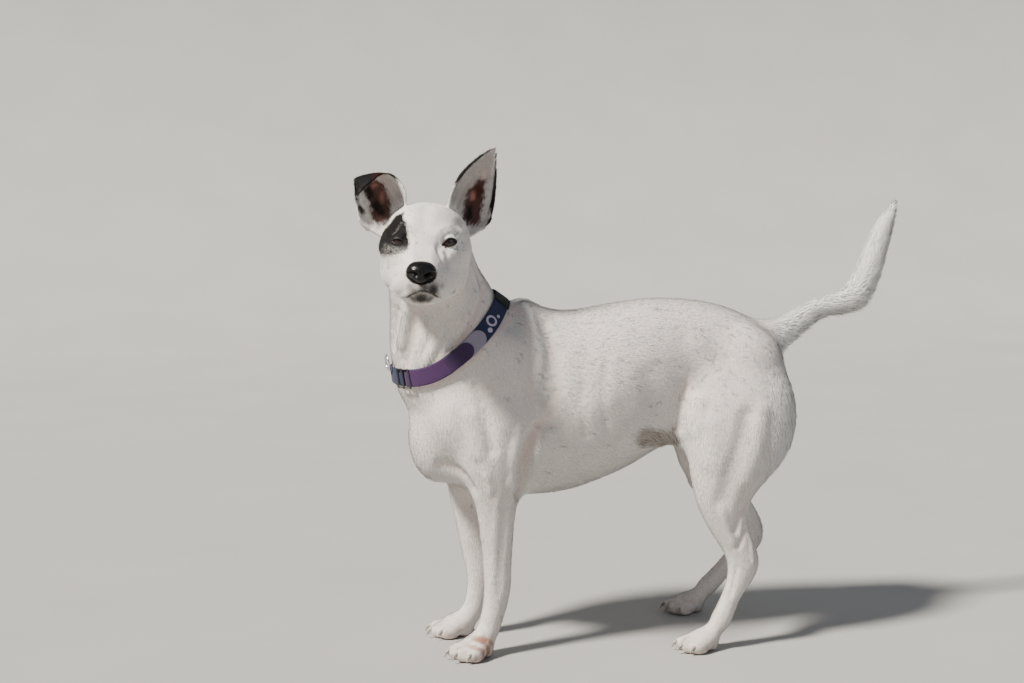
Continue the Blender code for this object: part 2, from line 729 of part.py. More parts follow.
HEAD_CUT = (HEAD_PLACE @ Vector((0.070, 0.0, -0.048)), HEAD_PLACE.to_3x3() @ Vector((-0.75, 0, 0.66)))
HEAD_BOX = (facing(*HEAD_CUT), (-0.25, -0.25, 0.0), (0.25, 0.25, 0.30))
NECK_BOX = (facing(Vector((-0.185, 0.0, 0.445)), Vector((-0.555, 0.0, 0.832))),
            (-0.20, -0.13, 0.0), (0.20, 0.20, 0.40))
TAIL_BOX = (facing(Vector((0.2900, 0.0, 0.4480)), Vector((0.88, 0.0, 0.475))),
            (-0.042, -0.06, 0.0), (0.25, 0.06, 0.30))
FORELEG_TOP = 0.240
HINDLEG_TOP = 0.284
PAW_TOP = 0.042
LEGS = {
    "foreleg_left": ((-0.30, -0.20, PAW_TOP), (-0.02, -0.026, FORELEG_TOP)),
    "foreleg_right": ((-0.30, 0.026, PAW_TOP), (-0.02, 0.20, FORELEG_TOP)),
    "hindleg_left": ((0.115, -0.20, PAW_TOP), (0.40, 0.0, HINDLEG_TOP)),
    "hindleg_right": ((0.115, GAP, PAW_TOP), (0.40, 0.20, HINDLEG_TOP)),
}
STILL = Matrix.Identity(4)

fine = thinned(copied(dog, "fine"), HEAD_SHARE)
medium = thinned(copied(dog, "medium"), PAW_SHARE)
coarse = thinned(copied(dog, "coarse"), COARSE_SHARE)
dropped(dog)
surface = BVHTree.FromObject(coarse, bpy.context.evaluated_depsgraph_get())

head = parted(fine, "head", *HEAD_BOX)
neck = parted(coarse, "neck", *NECK_BOX, takes=[HEAD_BOX])
tail = parted(coarse, "tail", *TAIL_BOX)
everything = (STILL, (-0.5, -0.5, 0.0), (0.6, 0.5, 1.0))
leg_boxes = [(STILL, (*low[:2], -0.1), high) for low, high in LEGS.values()]
paw_boxes = [(STILL, (-0.3, -0.2, -0.1), (0.4, 0.2, PAW_TOP))]
trunk = parted(coarse, "trunk", *everything, takes=[HEAD_BOX, NECK_BOX, TAIL_BOX, *leg_boxes, *paw_boxes])
for name, (low, high) in LEGS.items():
    leg = parted(coarse, name, STILL, low, high)
    coloured(leg, name, WHITE_COAT, 0.8)
for name in PAWS:
    leg_low, leg_high = LEGS[name.replace("paw", "leg")]
    sides = (-0.20, 0.0) if name.endswith("left") else (GAP, 0.20)
    low, high = (leg_low[0], sides[0], 0.0), (leg_high[0], sides[1], PAW_TOP - GAP)
    paw = parted(medium, name, STILL, low, high)
    for centre, radii, turn in TOES:
        nail = claw("claw", centre, radii, turn, place_of_paw(name))
        boolean(paw, "UNION", nail)
        dropped(nail)
    coloured(paw, name, WHITE_COAT, 0.8)

for name, middle in (("eye_left", EYE_LEFT), ("eye_right", EYE_RIGHT)):
    eye = lump(name, middle, (EYE_RADIUS,) * 3, place=HEAD_PLACE, fineness=2)
    socket = lump("socket", middle, (EYE_RADIUS + 2 * GAP,) * 3, place=HEAD_PLACE, fineness=2)
    boolean(head, "DIFFERENCE", socket)
    dropped(socket)
    coloured(eye, name, EYE_BROWN, 0.1)
nose = lump("nose", NOSE, NOSE_RADII, place=HEAD_PLACE, fineness=2)
seat = lump("seat", NOSE, [r + 2 * GAP for r in NOSE_RADII], place=HEAD_PLACE, fineness=2)
boolean(head, "DIFFERENCE", seat)
dropped(seat)
for y in (-NOSTRIL[1], NOSTRIL[1]):
    hole = lump("hole", (NOSTRIL[0], y, NOSTRIL[2]), NOSTRIL_RADII, place=HEAD_PLACE, fineness=2)
    boolean(nose, "DIFFERENCE", hole)
    dropped(hole)

clearance = copied(fine, "clearance")
grown(clearance, 2 * GAP)
settled(clearance)
for name, rows in (("ear_left", EAR_LEFT), ("ear_right", EAR_RIGHT)):
    ear = ear_shell(name, rows, EAR_THICK, HEAD_PLACE)
    boolean(ear, "DIFFERENCE", clearance)
    coloured(ear, name, EAR_SKIN, 0.7)

frames = collar_path(surface)
dropped(clearance)
clearance = copied(coarse, "clearance")
grown(clearance, 2 * GAP)
settled(clearance)
band = loop("collar_band", frames[::2], WEBBING, BAND_LAYER)
boolean(band, "DIFFERENCE", clearance)
dropped(clearance, fine, medium, coarse)
coloured(band, "collar_band", NAVY, 0.8)
keeper = strip("keeper", frames, KEEPER, WEBBING * 1.1, LOW_LAYER)
coloured(keeper, "collar_keeper", BLACK, 0.5)
sleeve = strip("sleeve", frames, SLEEVE, WEBBING, LOW_LAYER, (True, False))
coloured(sleeve, "collar_sleeve", GREY_MAUVE, 0.6)
strap = strip("strap", frames, STRAP, WEBBING, LOW_LAYER)
coloured(strap, "collar_strap", PURPLE, 0.8)
tab = strip("tab", frames, TAB, WEBBING, TOP_LAYER, (True, False))
coloured(tab, "collar_tab", NAVY, 0.8)
slide = strip("slide", frames, SLIDE, WEBBING * 1.2, TOP_LAYER)
coloured(slide, "collar_slide", BLACK, 0.4)
ring_frame = frames[round(RING * COLLAR_STEPS / 360)]
ring_place = frame_matrix(ring_frame, WEBBING / 2 + RING_RADIUS * 0.6, 0.0065)
ring = torus("ring", ring_place, RING_RADIUS, RING_WIRE)
coloured(ring, "collar_ring", STEEL, 0.25, 1.0)

coloured(head, "head", WHITE_COAT, 0.8)
coloured(neck, "neck", WHITE_COAT, 0.8)
coloured(trunk, "trunk", WHITE_COAT, 0.8)
coloured(tail, "tail", WHITE_COAT, 0.8)
coloured(nose, "nose", NOSE_BLACK, 0.3)
for piece in bpy.data.objects:
    piece.data.transform(Matrix.Translation(SHIFT))
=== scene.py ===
"""A medium short-haired dog that stands on four feet, wears a collar and looks at the viewer: skin
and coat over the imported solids. Metres. The shapes repeat the part's own named sizes, in its frame
before SHIFT: the dog faces -X, its left side is -Y, and the soles rest on Z = 0."""

import json
import math

import bmesh
import bpy
import numpy as np
from mathutils import Matrix, Vector
from mathutils.bvhtree import BVHTree
from mathutils.kdtree import KDTree

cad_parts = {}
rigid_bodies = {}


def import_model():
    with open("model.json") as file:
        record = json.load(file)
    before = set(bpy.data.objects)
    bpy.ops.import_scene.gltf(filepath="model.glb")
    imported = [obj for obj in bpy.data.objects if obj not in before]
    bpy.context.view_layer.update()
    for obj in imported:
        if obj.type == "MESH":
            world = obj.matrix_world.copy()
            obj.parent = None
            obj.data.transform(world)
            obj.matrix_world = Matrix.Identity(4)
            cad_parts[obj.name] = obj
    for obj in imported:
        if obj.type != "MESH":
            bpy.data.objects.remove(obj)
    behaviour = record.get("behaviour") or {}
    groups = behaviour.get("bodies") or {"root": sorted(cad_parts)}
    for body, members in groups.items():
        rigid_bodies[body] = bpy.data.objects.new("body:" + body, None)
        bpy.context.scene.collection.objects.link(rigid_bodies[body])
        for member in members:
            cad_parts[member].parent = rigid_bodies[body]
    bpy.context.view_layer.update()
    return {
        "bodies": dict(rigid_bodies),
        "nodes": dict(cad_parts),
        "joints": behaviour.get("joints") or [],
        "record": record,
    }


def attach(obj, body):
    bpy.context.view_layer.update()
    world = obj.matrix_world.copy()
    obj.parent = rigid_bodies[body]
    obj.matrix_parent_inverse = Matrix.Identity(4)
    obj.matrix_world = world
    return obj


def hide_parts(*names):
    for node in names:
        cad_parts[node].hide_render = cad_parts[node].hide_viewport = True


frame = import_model()

# ------------------------------------------------------------------ sizes of the body


def mm(value):
    """Millimetres, in any nesting, as metres."""
    if isinstance(value, (int, float)):
        return round(value / 1000, 7)
    return tuple(mm(part) for part in value)


def rows_in_mm(rows, *kept):
    """Rows in millimetres as metres, apart from the kept columns, which aren't lengths."""
    return [tuple(part if i in kept else mm(part) for i, part in enumerate(row)) for row in rows]


# Moves the dog so that its box stands on the origin.
SHIFT = Vector((-0.06909, 0.04132, 0.0))

# The tables are in millimetres, other names in metres. Upright sections: x, top z, bottom z, half
# width, z of the widest level, squareness, y.
TRUNK = rows_in_mm((
    (-222, 405, 276, 50, 340, 2, 0), (-200, 440, 244, 68, 340, 2, 0),
    (-170, 435, 230, 82, 342, 2.1, 0), (-132, 474, 223, 89, 345, 2.1, 0),
    (-98, 512, 221, 93, 350, 2.1, 0), (-60, 495, 221, 98, 355, 2.1, 0),
    (-20, 490, 227, 102, 360, 2.1, 0), (20, 496, 240, 103, 370, 2.1, 0), (60, 502, 256, 99, 385, 2.1, 0),
    (100, 506, 278, 90, 400, 2.1, 0), (140, 505, 296, 81, 410, 2.1, 0), (180, 500, 312, 77, 415, 2.1, 0),
    (215, 491, 330, 73, 415, 2.1, 0), (245, 478, 350, 64, 415, 2, 0), (262, 466, 375, 50, 415, 2, 0),
), 5)
# Sections square to a path: x, y, z, half size fore and aft, half size sideways.
NECK = mm((
    (-165, 0, 330, 78, 66), (-172, 0, 375, 93, 76), (-183, -1, 420, 100, 79), (-198.5, -5, 462, 90, 77),
    (-210.5, -13, 500, 77.5, 71), (-221.5, -24, 535, 67.5, 67), (-227.5, -36, 565, 61, 60),
    (-232, -48, 590, 56, 50),
))
FORELEG_LEFT = mm((
    (-132, -56, 370, 64, 34), (-140, -64, 325, 62, 35), (-145, -66, 285, 50, 33),
    (-143, -65, 248, 38, 28.5), (-140, -62, 215, 32, 25), (-138.5, -59, 170, 27.5, 21.5),
    (-137.5, -57, 130, 24.5, 19.5), (-137, -56, 100, 23.5, 20.5), (-140, -56, 73, 21.2, 19),
    (-147.5, -58, 48, 20, 19), (-153, -60, 30, 20, 20),
))
FORELEG_RIGHT = mm((
    (-140, 56, 370, 64, 34), (-152, 63, 325, 62, 35), (-161, 63, 285, 50, 33), (-163, 60, 248, 38, 28.5),
    (-162, 57, 215, 32, 25), (-157, 54, 170, 27.5, 21.5), (-153, 52, 130, 24.5, 19.5),
    (-146.5, 50, 100, 23.5, 20.5), (-147, 50, 73, 21.2, 19), (-153, 50, 48, 20, 19),
    (-159, 50, 30, 20, 20),
))
HINDLEG_LEFT = mm((
    (205, -46, 405, 78, 38), (211, -62, 360, 90, 42), (211, -71, 318, 88, 41), (200, -78, 280, 71, 37),
    (192, -81, 250, 58, 33), (188, -83, 222, 46, 29), (191, -84, 195, 35, 24),
    (201.5, -85, 168, 29.5, 20), (213.5, -85, 145, 27, 18.5), (219, -85, 125, 28.5, 19),
    (213, -85, 102, 22.5, 17.5), (202, -85, 80, 18, 16.5), (193, -85, 58, 18, 17),
    (183, -85, 36, 20, 19.5),
))
HINDLEG_RIGHT = mm((
    (205, 46, 405, 78, 38), (218, 63, 360, 86, 42), (224, 76, 318, 82, 41), (222, 86, 280, 68, 37),
    (225, 94, 245, 56, 33), (236, 102, 212, 44, 29), (255, 109, 183, 34, 24), (275, 114, 157, 29, 20),
    (291, 117, 133, 27.5, 18.5), (293.5, 119, 113, 25, 19), (276, 120, 91, 20.5, 17.5),
    (256, 120, 70, 18.5, 16.5), (237, 120, 50, 18.5, 17), (220, 120, 34, 19.5, 19),
))
TAIL = mm((
    (245, 0, 430, 40, 36), (272, 0, 440, 35, 31), (294, 0, 450, 27.5, 25), (318, 0, 463.5, 22.5, 21),
    (343, 0, 480, 20, 19), (368, 0, 489, 19, 18), (392, 0, 493.5, 21.5, 19), (415, 0, 506.5, 25, 20),
    (430, 0, 532, 24.5, 20), (441.5, 0, 564, 22.5, 19), (453, 0, 597, 20, 17), (465.5, 0, 624, 15, 13),
    (476.5, 0, 646, 9.8, 8.8), (481.5, 0, 656, 7, 6.2),
))
# Muscles under the skin of each side: centre, radii, turns about X, Y and Z in degrees.
MUSCLES = rows_in_mm((
    ((-122, 58, 395), (56, 31, 85), (-8, -28, 0)), ((-186, 52, 343), (48, 38, 58), (0, 0, 0)),
    ((225, 46, 400), (66, 42, 72), (0, 0, 0)),
), 2)
BREAST = ((-0.198, 0.0, 0.33), (0.059, 0.06, 0.092), (0, 14, 0))

# Each paw: x and y of the foot of its leg, heading outwards in degrees, size.
PAWS = {
    "forepaw_left": (-0.154, -0.062, 22, 1.0),
    "forepaw_right": (-0.164, 0.05, 2, 1.0),
    "hindpaw_left": (0.174, -0.085, 8, 0.95),
    "hindpaw_right": (0.212, 0.12, -4, 0.95),
}
PAW_SINK = -0.0012
# A paw's toes and pads, which head for -X: centre, radii, turn about Z.
TOES = rows_in_mm((
    ((-42, -10, 12.5), (18, 9.8, 13), 4), ((-42, 10, 12.5), (18, 9.8, 13), -4), ((-29, -22, 11.5),
    (17.5, 9.2, 12), 14), ((-29, 22, 11.5), (17.5, 9.2, 12), -14),
), 2)
PAW_BODY = rows_in_mm((((-15, 0, 19), (26, 23.5, 17.5), 0), ((-4, 0, 8), (15, 17.5, 10.5), 0)), 2)
CLAW_LENGTH = 0.0075
CLAW_RADIUS = 0.003

# ------------------------------------------------------------------ sizes of the head
# The head's own frame: its origin is midway between the eyes, and it also faces -X.
EYES_AT = Vector((-0.2507, -0.135, 0.597))
HEAD_YAW = 82.0
HEAD_PITCH = 5.0
HEAD_ROLL = 2.6
HEAD = rows_in_mm((
    (-73, -18, -69, 26.5, -44, 2.3, 0), (-65, -13.5, -74.5, 31.5, -46, 2.4, 0),
    (-52, -10.5, -78, 34.5, -48, 2.4, 0), (-38, -7.5, -81, 37.5, -48, 2.3, -0.3),
    (-24, 0, -84, 42.5, -44, 2.3, -1), (-11, 13.5, -86, 48, -36, 2.3, -1.8),
    (3, 26.5, -88, 53.5, -30, 2.3, -2.5), (20, 37, -89, 59.5, -24, 2.3, -3),
    (42, 44.5, -86, 63, -16, 2.3, -3), (68, 45, -77, 59, -10, 2.2, -3), (92, 38, -62, 48, -4, 2.1, -3),
    (106, 26, -46, 36, -4, 2, -3),
), 5)
EYE_RADIUS = 0.0115
NOSE = (-0.082, 0.0, -0.0295)
NOSE_RADII = (0.0165, 0.0195, 0.0155)

# Ears, in the head's frame: inner edge, outer edge and depth of the cup, from root to tip.
EAR_LEFT = mm((
    ((52, -30, 26), (82, -50, -14), 14), ((50, -32, 48), (83, -75, 2), 21), ((50, -35, 63),
    (82, -90.5, 18), 23), ((52, -43, 81), (78, -96, 41), 20), ((54, -53, 95), (74, -97.5, 65), 15),
    ((56, -66, 108), (68, -97, 89), 9), ((58, -79.6, 118), (63, -96, 107), 4), ((60, -90.5, 123.5),
    (60.5, -94.5, 120.5), 1),
))
EAR_RIGHT = mm((
    ((52, 25, 24), (82, 48, -16), 14), ((50, 26, 44), (84, 70, -5), 21), ((50, 27, 58), (82, 89, 7), 23),
    ((53, 33, 70), (77, 96, 32), 19), ((56, 43, 80), (72, 98.5, 55), 11), ((52, 53, 82.5),
    (62, 99, 70), 3), ((40, 61, 81), (48, 97.5, 69.5), 2.5), ((30, 71, 73), (36, 95, 63.5), 2),
    ((24, 81, 64), (28, 92.5, 58), 1.5), ((20.5, 87.5, 56), (21.5, 91, 53.5), 1),
))
EAR_THICK = 0.0042
# How far from the head's origin the ears reach.
EAR_REACH = 0.2
EAR_SIDES = 18
EAR_FACES = 2 * (EAR_SIDES + 1)
EAR_SPAN_ROWS = 8

# ------------------------------------------------------------------ sizes of the collar
COLLAR_CENTRE = Vector((-0.2095, -0.003, 0.44))
COLLAR_HALF_LENGTH = 0.07
COLLAR_HALF_WIDTH = 0.08
COLLAR_MIDDLE = 0.453
COLLAR_SLOPE = 0.052
COLLAR_SAG = 0.032
COLLAR_STEPS = 60
WEBBING = 0.025
ACROSS = (-1, -0.5, 0, 0.5, 1)
# Layers of the collar, as heights over the coat.
BAND_LAYER = (0.0012, 0.0032)
LOW_LAYER = (0.0035, 0.0048)
TOP_LAYER = (0.0051, 0.0064)
# Where each layer lies, in degrees from the nape towards the throat by the left side.
KEEPER = (12, 24)
SLEEVE = (60, 78)
TAB = (72, 90)
STRAP = (90, 144)
SLIDE = (138, 156)
RING = 174
RING_RADIUS = 0.011
RING_WIRE = 0.0013

# ------------------------------------------------------------------ fineness
VOXEL = 0.0034
# Radii of the filled inner corners where the shapes meet.
BODY_FILLET = 0.02
NECK_FILLET = 0.011
HEAD_FILLET = 0.007
TOE_FILLET = 0.002
SKIN_VOXEL = 0.0017
BODY_TRIANGLES = 100000
RING_SIDES = 40
ROWS_PER_SPAN = 6
CAP_ROWS = 5
# ------------------------------------------------------------------ shapes
def linked(name, mesh):
    made = bpy.data.objects.new(name, mesh)
    bpy.context.scene.collection.objects.link(made)
    return made


def from_bmesh(name, bm):
    mesh = bpy.data.meshes.new(name)
    bm.to_mesh(mesh)
    bm.free()
    return linked(name, mesh)


def through(stations, per_span=ROWS_PER_SPAN):
    """Rows of a Catmull-Rom curve through the stations, column by column."""
    rows = np.array(stations, float)
    ends = np.vstack([2 * rows[0] - rows[1], rows, 2 * rows[-1] - rows[-2]])
    made = []
    for i in range(len(rows) - 1):
        a, b, c, d = ends[i : i + 4]
        for k in range(per_span):
            t = k / per_span
            bend = (2 * a - 5 * b + 4 * c - d) * t**2 + (3 * b - a - 3 * c + d) * t**3
            made.append(b + 0.5 * ((c - a) * t + bend))
    return np.array(made + [rows[-1]])


def circle(sides):
    """Evenly spaced angles round a circle."""
    return [2 * math.pi * k / sides for k in range(sides)]


def bridged(name, rings, closed=False):
    """A mesh through rings of equally many points: a closed loop, or one with filled ends."""
    bm = bmesh.new()
    rows = [[bm.verts.new(point) for point in ring] for ring in rings]
    after = rows[1:] + rows[:1] if closed else rows[1:]
    for low, high in zip(rows, after):
        for k in range(len(low)):
            j = (k + 1) % len(low)
            bm.faces.new((low[k], low[j], high[j], high[k]))
    if not closed:
        bm.faces.new(rows[0][::-1])
        bm.faces.new(rows[-1])
    bmesh.ops.recalc_face_normals(bm, faces=bm.faces)
    return from_bmesh(name, bm)


def domed(rings, length):
    """Rings that shrink past both ends, so that the shape ends in a dome."""

    def dome(end, inner):
        centre = sum(end, Vector()) / len(end)
        out = (centre - sum(inner, Vector()) / len(inner)).normalized()
        out *= sum((p - centre).length for p in end) / len(end) * length
        turns = [math.pi / 2 * k / CAP_ROWS for k in range(1, CAP_ROWS)]
        return [[centre + (p - centre) * math.cos(turn) + out * math.sin(turn) for p in end]
                for turn in turns]

    return dome(rings[0], rings[1])[::-1] + rings + dome(rings[-1], rings[-2])


def rounded(value, squareness):
    return math.copysign(abs(value) ** (2 / squareness), value)


def barrel(name, stations, place=Matrix.Identity(4)):
    """Upright sections along X, as in TRUNK and HEAD."""
    rings = []
    for x, top, bottom, half, wide, square, middle in through(stations):
        ring = []
        for turn in circle(RING_SIDES):
            rise = top - wide if math.sin(turn) > 0 else wide - bottom
            y = middle + half * rounded(math.cos(turn), square)
            ring.append(place @ Vector((x, y, wide + rise * rounded(math.sin(turn), square))))
        rings.append(ring)
    return bridged(name, domed(rings, 0.6))


def limb(name, stations, dome=0.7):
    """Sections square to a path, as in NECK and TAIL."""
    rows = through(stations)
    centres = [Vector(row[:3]) for row in rows]
    rings = []
    for i, row in enumerate(rows):
        along = (centres[min(i + 1, len(rows) - 1)] - centres[max(i - 1, 0)]).normalized()
        side = (Vector((0, 1, 0)) - along * along.y).normalized()
        fore = along.cross(side)
        rings.append([centres[i] + fore * (row[3] * math.cos(turn)) + side * (row[4] * math.sin(turn))
                      for turn in circle(RING_SIDES)])
    return bridged(name, domed(rings, dome))


def lump(name, centre, radii, turns=(0, 0, 0), place=Matrix.Identity(4), fineness=4):
    """An ellipsoid, turned by degrees about X, then Y, then Z."""
    spin = Matrix.Identity(4)
    for axis, angle in zip("XYZ", turns):
        spin = Matrix.Rotation(math.radians(angle), 4, axis) @ spin
    bm = bmesh.new()
    bmesh.ops.create_icosphere(bm, subdivisions=fineness, radius=1.0)
    bm.transform(place @ Matrix.Translation(centre) @ spin @ Matrix.Diagonal((*radii, 1)))
    return from_bmesh(name, bm)


def ear_shells():
    """Both ears, cupped: each row is half an ellipse from its inner edge to its outer edge."""
    return [ear_shell(rows) for rows in (EAR_LEFT, EAR_RIGHT)]


def ear_shell(stations):
    rows = through([[*inner, *outer, cup] for inner, outer, cup in stations], EAR_SPAN_ROWS)
    middles = (rows[:, :3] + rows[:, 3:6]) / 2
    back_before = Vector((1, 0, 0))
    rings = []
    for i, row in enumerate(rows):
        across = Vector(row[:3] - row[3:6]) / 2
        along = Vector(middles[min(i + 1, len(rows) - 1)] - middles[max(i - 1, 0)])
        back = across.cross(along).normalized()
        if back.dot(back_before) < 0:
            back = -back
        back_before = back
        half = across.length
        wall = min(EAR_THICK, half * 0.45)
        cup = max(row[6], wall * 1.2)
        outside, inside = [], []
        for k in range(EAR_SIDES + 1):
            turn = math.pi * k / EAR_SIDES
            run, rise = math.cos(turn), math.sin(turn)
            outside.append(across * run + back * (cup * rise))
            inside.append(across * (run * (half - wall) / half) + back * ((cup - wall) * rise))
        middle = Vector(middles[i])
        rings.append([HEAD_PLACE @ (middle + p) for p in outside + inside[::-1]])
    return bridged("ear", rings)


# ------------------------------------------------------------------ joining and cutting
def joined(name, pieces):
    bm = bmesh.new()
    for piece in pieces:
        bm.from_mesh(piece.data)
        bpy.data.objects.remove(piece)
    return from_bmesh(name, bm)


def settled(piece):
    """The piece with its modifiers applied."""
    graph = bpy.context.evaluated_depsgraph_get()
    mesh = bpy.data.meshes.new_from_object(piece.evaluated_get(graph), depsgraph=graph)
    piece.modifiers.clear()
    piece.data = mesh
    return piece


def voxels(piece, size):
    union = piece.modifiers.new("union", "REMESH")
    union.mode = "VOXEL"
    union.voxel_size = size


def grown(piece, distance):
    growth = piece.modifiers.new("growth", "DISPLACE")
    growth.strength = distance
    growth.mid_level = 0


def relaxed(piece, steps):
    relaxation = piece.modifiers.new("relaxation", "SMOOTH")
    relaxation.factor = 0.5
    relaxation.iterations = steps


def blended(name, pieces, voxel, fillet, steps):
    """The union of the pieces, its inner corners filled to about this radius."""
    whole = joined(name, pieces)
    voxels(whole, voxel)
    relaxed(whole, 2)
    grown(whole, fillet)
    voxels(whole, voxel)
    relaxed(whole, 3)
    grown(whole, -fillet)
    voxels(whole, voxel)
    relaxed(whole, steps)
    return settled(whole)


# ------------------------------------------------------------------ pressing and raising
def surface(piece):
    return BVHTree.FromObject(piece, bpy.context.evaluated_depsgraph_get())


def read(rows, field, width, kind=np.int32):
    """One field of every row, as an array of this width."""
    found = np.empty(len(rows) * width, kind)
    rows.foreach_get(field, found)
    return found.reshape(-1, width)


def coordinates(mesh):
    return read(mesh.vertices, "co", 3, float)


def place_points(piece, points):
    piece.data.vertices.foreach_set("co", points.ravel())
    piece.data.update()


def normals(mesh):
    return read(mesh.vertices, "normal", 3, np.float32).astype(float)


def lengths(rows):
    return np.linalg.norm(rows, axis=1)


def unit(rows):
    return rows / np.maximum(lengths(rows), 1e-9)[:, None]


def eased(share):
    """A share between 0 and 1 that sets off and ends gently."""
    share = np.clip(share, 0, 1)
    return share * share * (3 - 2 * share)


def distance_to(points, path):
    best = np.full(len(points), np.inf)
    for a, b in zip(path, path[1:]):
        run = b - a
        share = np.clip((points - a) @ run / (run @ run), 0, 1)
        best = np.minimum(best, lengths(points - a - share[:, None] * run))
    return best


def stroke(piece, path, reach, height, place):
    """Raises the surface along a path or, with a height below 0, presses it in."""
    path = np.array([place @ Vector(point) for point in path])
    points = coordinates(piece.data)
    lift = eased(1 - distance_to(points, path) / reach) * height
    place_points(piece, points + normals(piece.data) * lift[:, None])


def mirrored(path):
    return [(x, -y, z) for x, y, z in path]


# ------------------------------------------------------------------ the dog's shape
def turn_of_head():
    turn = Matrix.Rotation(math.radians(HEAD_YAW), 4, "Z")
    turn = turn @ Matrix.Rotation(math.radians(-HEAD_PITCH), 4, "Y")
    return Matrix.Translation(EYES_AT) @ turn @ Matrix.Rotation(math.radians(HEAD_ROLL), 4, "X")


def place_of_paw(name):
    x, y, heading, size = PAWS[name]
    side = 1 if name.endswith("left") else -1
    turn = Matrix.Rotation(math.radians(side * heading), 4, "Z")
    return Matrix.Translation((x, y, PAW_SINK)) @ turn @ Matrix.Scale(size, 4)


def on_paws(shapes):
    """The same rounded shapes on every paw."""
    return [lump("pad", centre, radii, (0, 0, turn), place_of_paw(name)) for name in PAWS
            for centre, radii, turn in shapes]


def whole_dog():
    pieces = [barrel("trunk", TRUNK), limb("tail", TAIL)]
    pieces += [limb("leg", leg) for leg in (FORELEG_LEFT, FORELEG_RIGHT, HINDLEG_LEFT, HINDLEG_RIGHT)]
    pieces.append(lump("breast", *BREAST))
    for (x, y, z), radii, (roll, pitch, yaw) in MUSCLES:
        pieces.append(lump("muscle", (x, y, z), radii, (roll, pitch, yaw)))
        pieces.append(lump("muscle", (x, -y, z), radii, (-roll, pitch, -yaw)))
    body = blended("body", pieces, VOXEL * 1.3, BODY_FILLET, 6)
    body = blended("body", [body, limb("neck", NECK, 0.3)], VOXEL * 1.2, NECK_FILLET, 6)
    pieces = [body, barrel("head", HEAD, HEAD_PLACE)] + on_paws(PAW_BODY)
    return blended("dog", pieces, VOXEL, HEAD_FILLET, 5)


def with_toes(dog):
    return blended("dog", [dog] + on_paws(TOES), VOXEL, TOE_FILLET, 2)


# ------------------------------------------------------------------ the collar
def collar_path(tree):
    """Frames round the neck where the webbing's middle lies: place, direction, up and out."""
    points, outs = [], []
    for i in range(COLLAR_STEPS):
        turn = 2 * math.pi * i / COLLAR_STEPS
        z = COLLAR_MIDDLE + COLLAR_SLOPE * math.cos(turn) - COLLAR_SAG * math.sin(turn) ** 2
        aim = Vector((COLLAR_CENTRE.x + COLLAR_HALF_LENGTH * math.cos(turn), 0, z))
        aim.y = -COLLAR_HALF_WIDTH * math.sin(turn)
        origin = COLLAR_CENTRE + Vector((0, 0, (z - COLLAR_CENTRE.z) * 0.6))
        point, normal, _, _ = tree.ray_cast(origin, (aim - origin).normalized())
        points.append(point)
        outs.append(normal)
    points, outs = evened(points, 3), evened(outs, 6)
    middles, ups, bulges = [], [], []
    for i, point in enumerate(points):
        along = (points[(i + 1) % COLLAR_STEPS] - points[i - 1]).normalized()
        out = (outs[i] - along * outs[i].dot(along)).normalized()
        up = along.cross(out) * (WEBBING / 2)
        low, *between, high = (landed(tree, point + up * share, out) for share in ACROSS)
        straight = (low + high) / 2
        bulges.append(max(0, *((place - straight).dot(out) for place in between)))
        middles.append(straight)
        ups.append((high - low).normalized())
    for i, out in enumerate(outs):
        middles[i] += out * max(bulges[i - 1], bulges[i], bulges[(i + 1) % COLLAR_STEPS])
    middles, ups = evened(middles, 2), evened(ups, 4)
    frames = []
    for i, middle in enumerate(middles):
        along = (middles[(i + 1) % COLLAR_STEPS] - middles[i - 1]).normalized()
        out = ups[i].cross(along).normalized()
        frames.append((middle, along, along.cross(out), out))
    return frames


def landed(tree, point, out):
    """The surface under a point, seen from outside."""
    place, _, _, _ = tree.ray_cast(point + out * 0.03, -out)
    return place


def evened(values, steps):
    """Evens out values that run round a ring."""
    for _ in range(steps):
        before = values[-1:] + values[:-1]
        after = values[1:] + values[:1]
        values = [(a + b * 2 + c) / 4 for a, b, c in zip(before, values, after)]
    return values


def torus(name, place, radius, wire, around, about):
    """A ring of round wire in the frame's XY plane."""
    section = [Vector((radius + wire * math.cos(a), 0, wire * math.sin(a))) for a in circle(about)]
    turns = [Matrix.Rotation(turn, 4, "Z") for turn in circle(around)]
    return bridged(name, [[place @ turn @ point for point in section] for turn in turns], True)


def frame_matrix(frame, rise, height):
    """A frame of the collar as a matrix: X along it, Y up, Z out."""
    point, along, up, out = frame
    turn = Matrix((along, up, out)).transposed().to_4x4()
    return Matrix.Translation(point + up * rise + out * height) @ turn



# ------------------------------------------------------------------ the skin's own detail
# Raised and pressed shapes of the head, in its own frame: path on the right side, reach, height,
# and how much of the height the left side has.
FACE_LINES = rows_in_mm((
    (((-2, 32.5, -3), (-16, 23, -8)), 18, -3, 1), (((-12, 22, 13), (4, 34, 17), (16, 45, 10)), 15, 3, 1),
    (((0, 50, -18), (30, 64, -14)), 20, 2.5, 1), (((20, 54, -62), (40, 56, -62)), 30, 4, 1),
    (((-60, 33, -56), (-40, 37, -60)), 18, 3, 1), (((-30, 30, -30), (-12, 40, -36)), 16, -2.5, 1),
    (((-66, 13, -13), (-30, 15, -4)), 9, 0.9, 1), (((-62, 24, -28), (-34, 32, -26)), 11, -1.4, 1),
    (((-16, 18, -11), (-28, 19, -14), (-46, 26, -23)), 7, -0.3, 7), (((-22, 30, -14),
    (-34, 34, -26)), 7, -0.3, 5), (((4, 46, -22), (12, 52, -44), (10, 50, -66)), 12, -1.2, 1),
    (((12, 46, 20), (32, 53, 22)), 15, -2, 1), (((-68, 22, -46), (-54, 31, -52)), 13, 1.4, 1),
), 3)
FOREHEAD = mm((((-6, 0, 22), (30, 0, 45)), 16, -2))
CHIN = mm((((-74, 0, -72), (-60, 0, -78)), 14, 1.2))
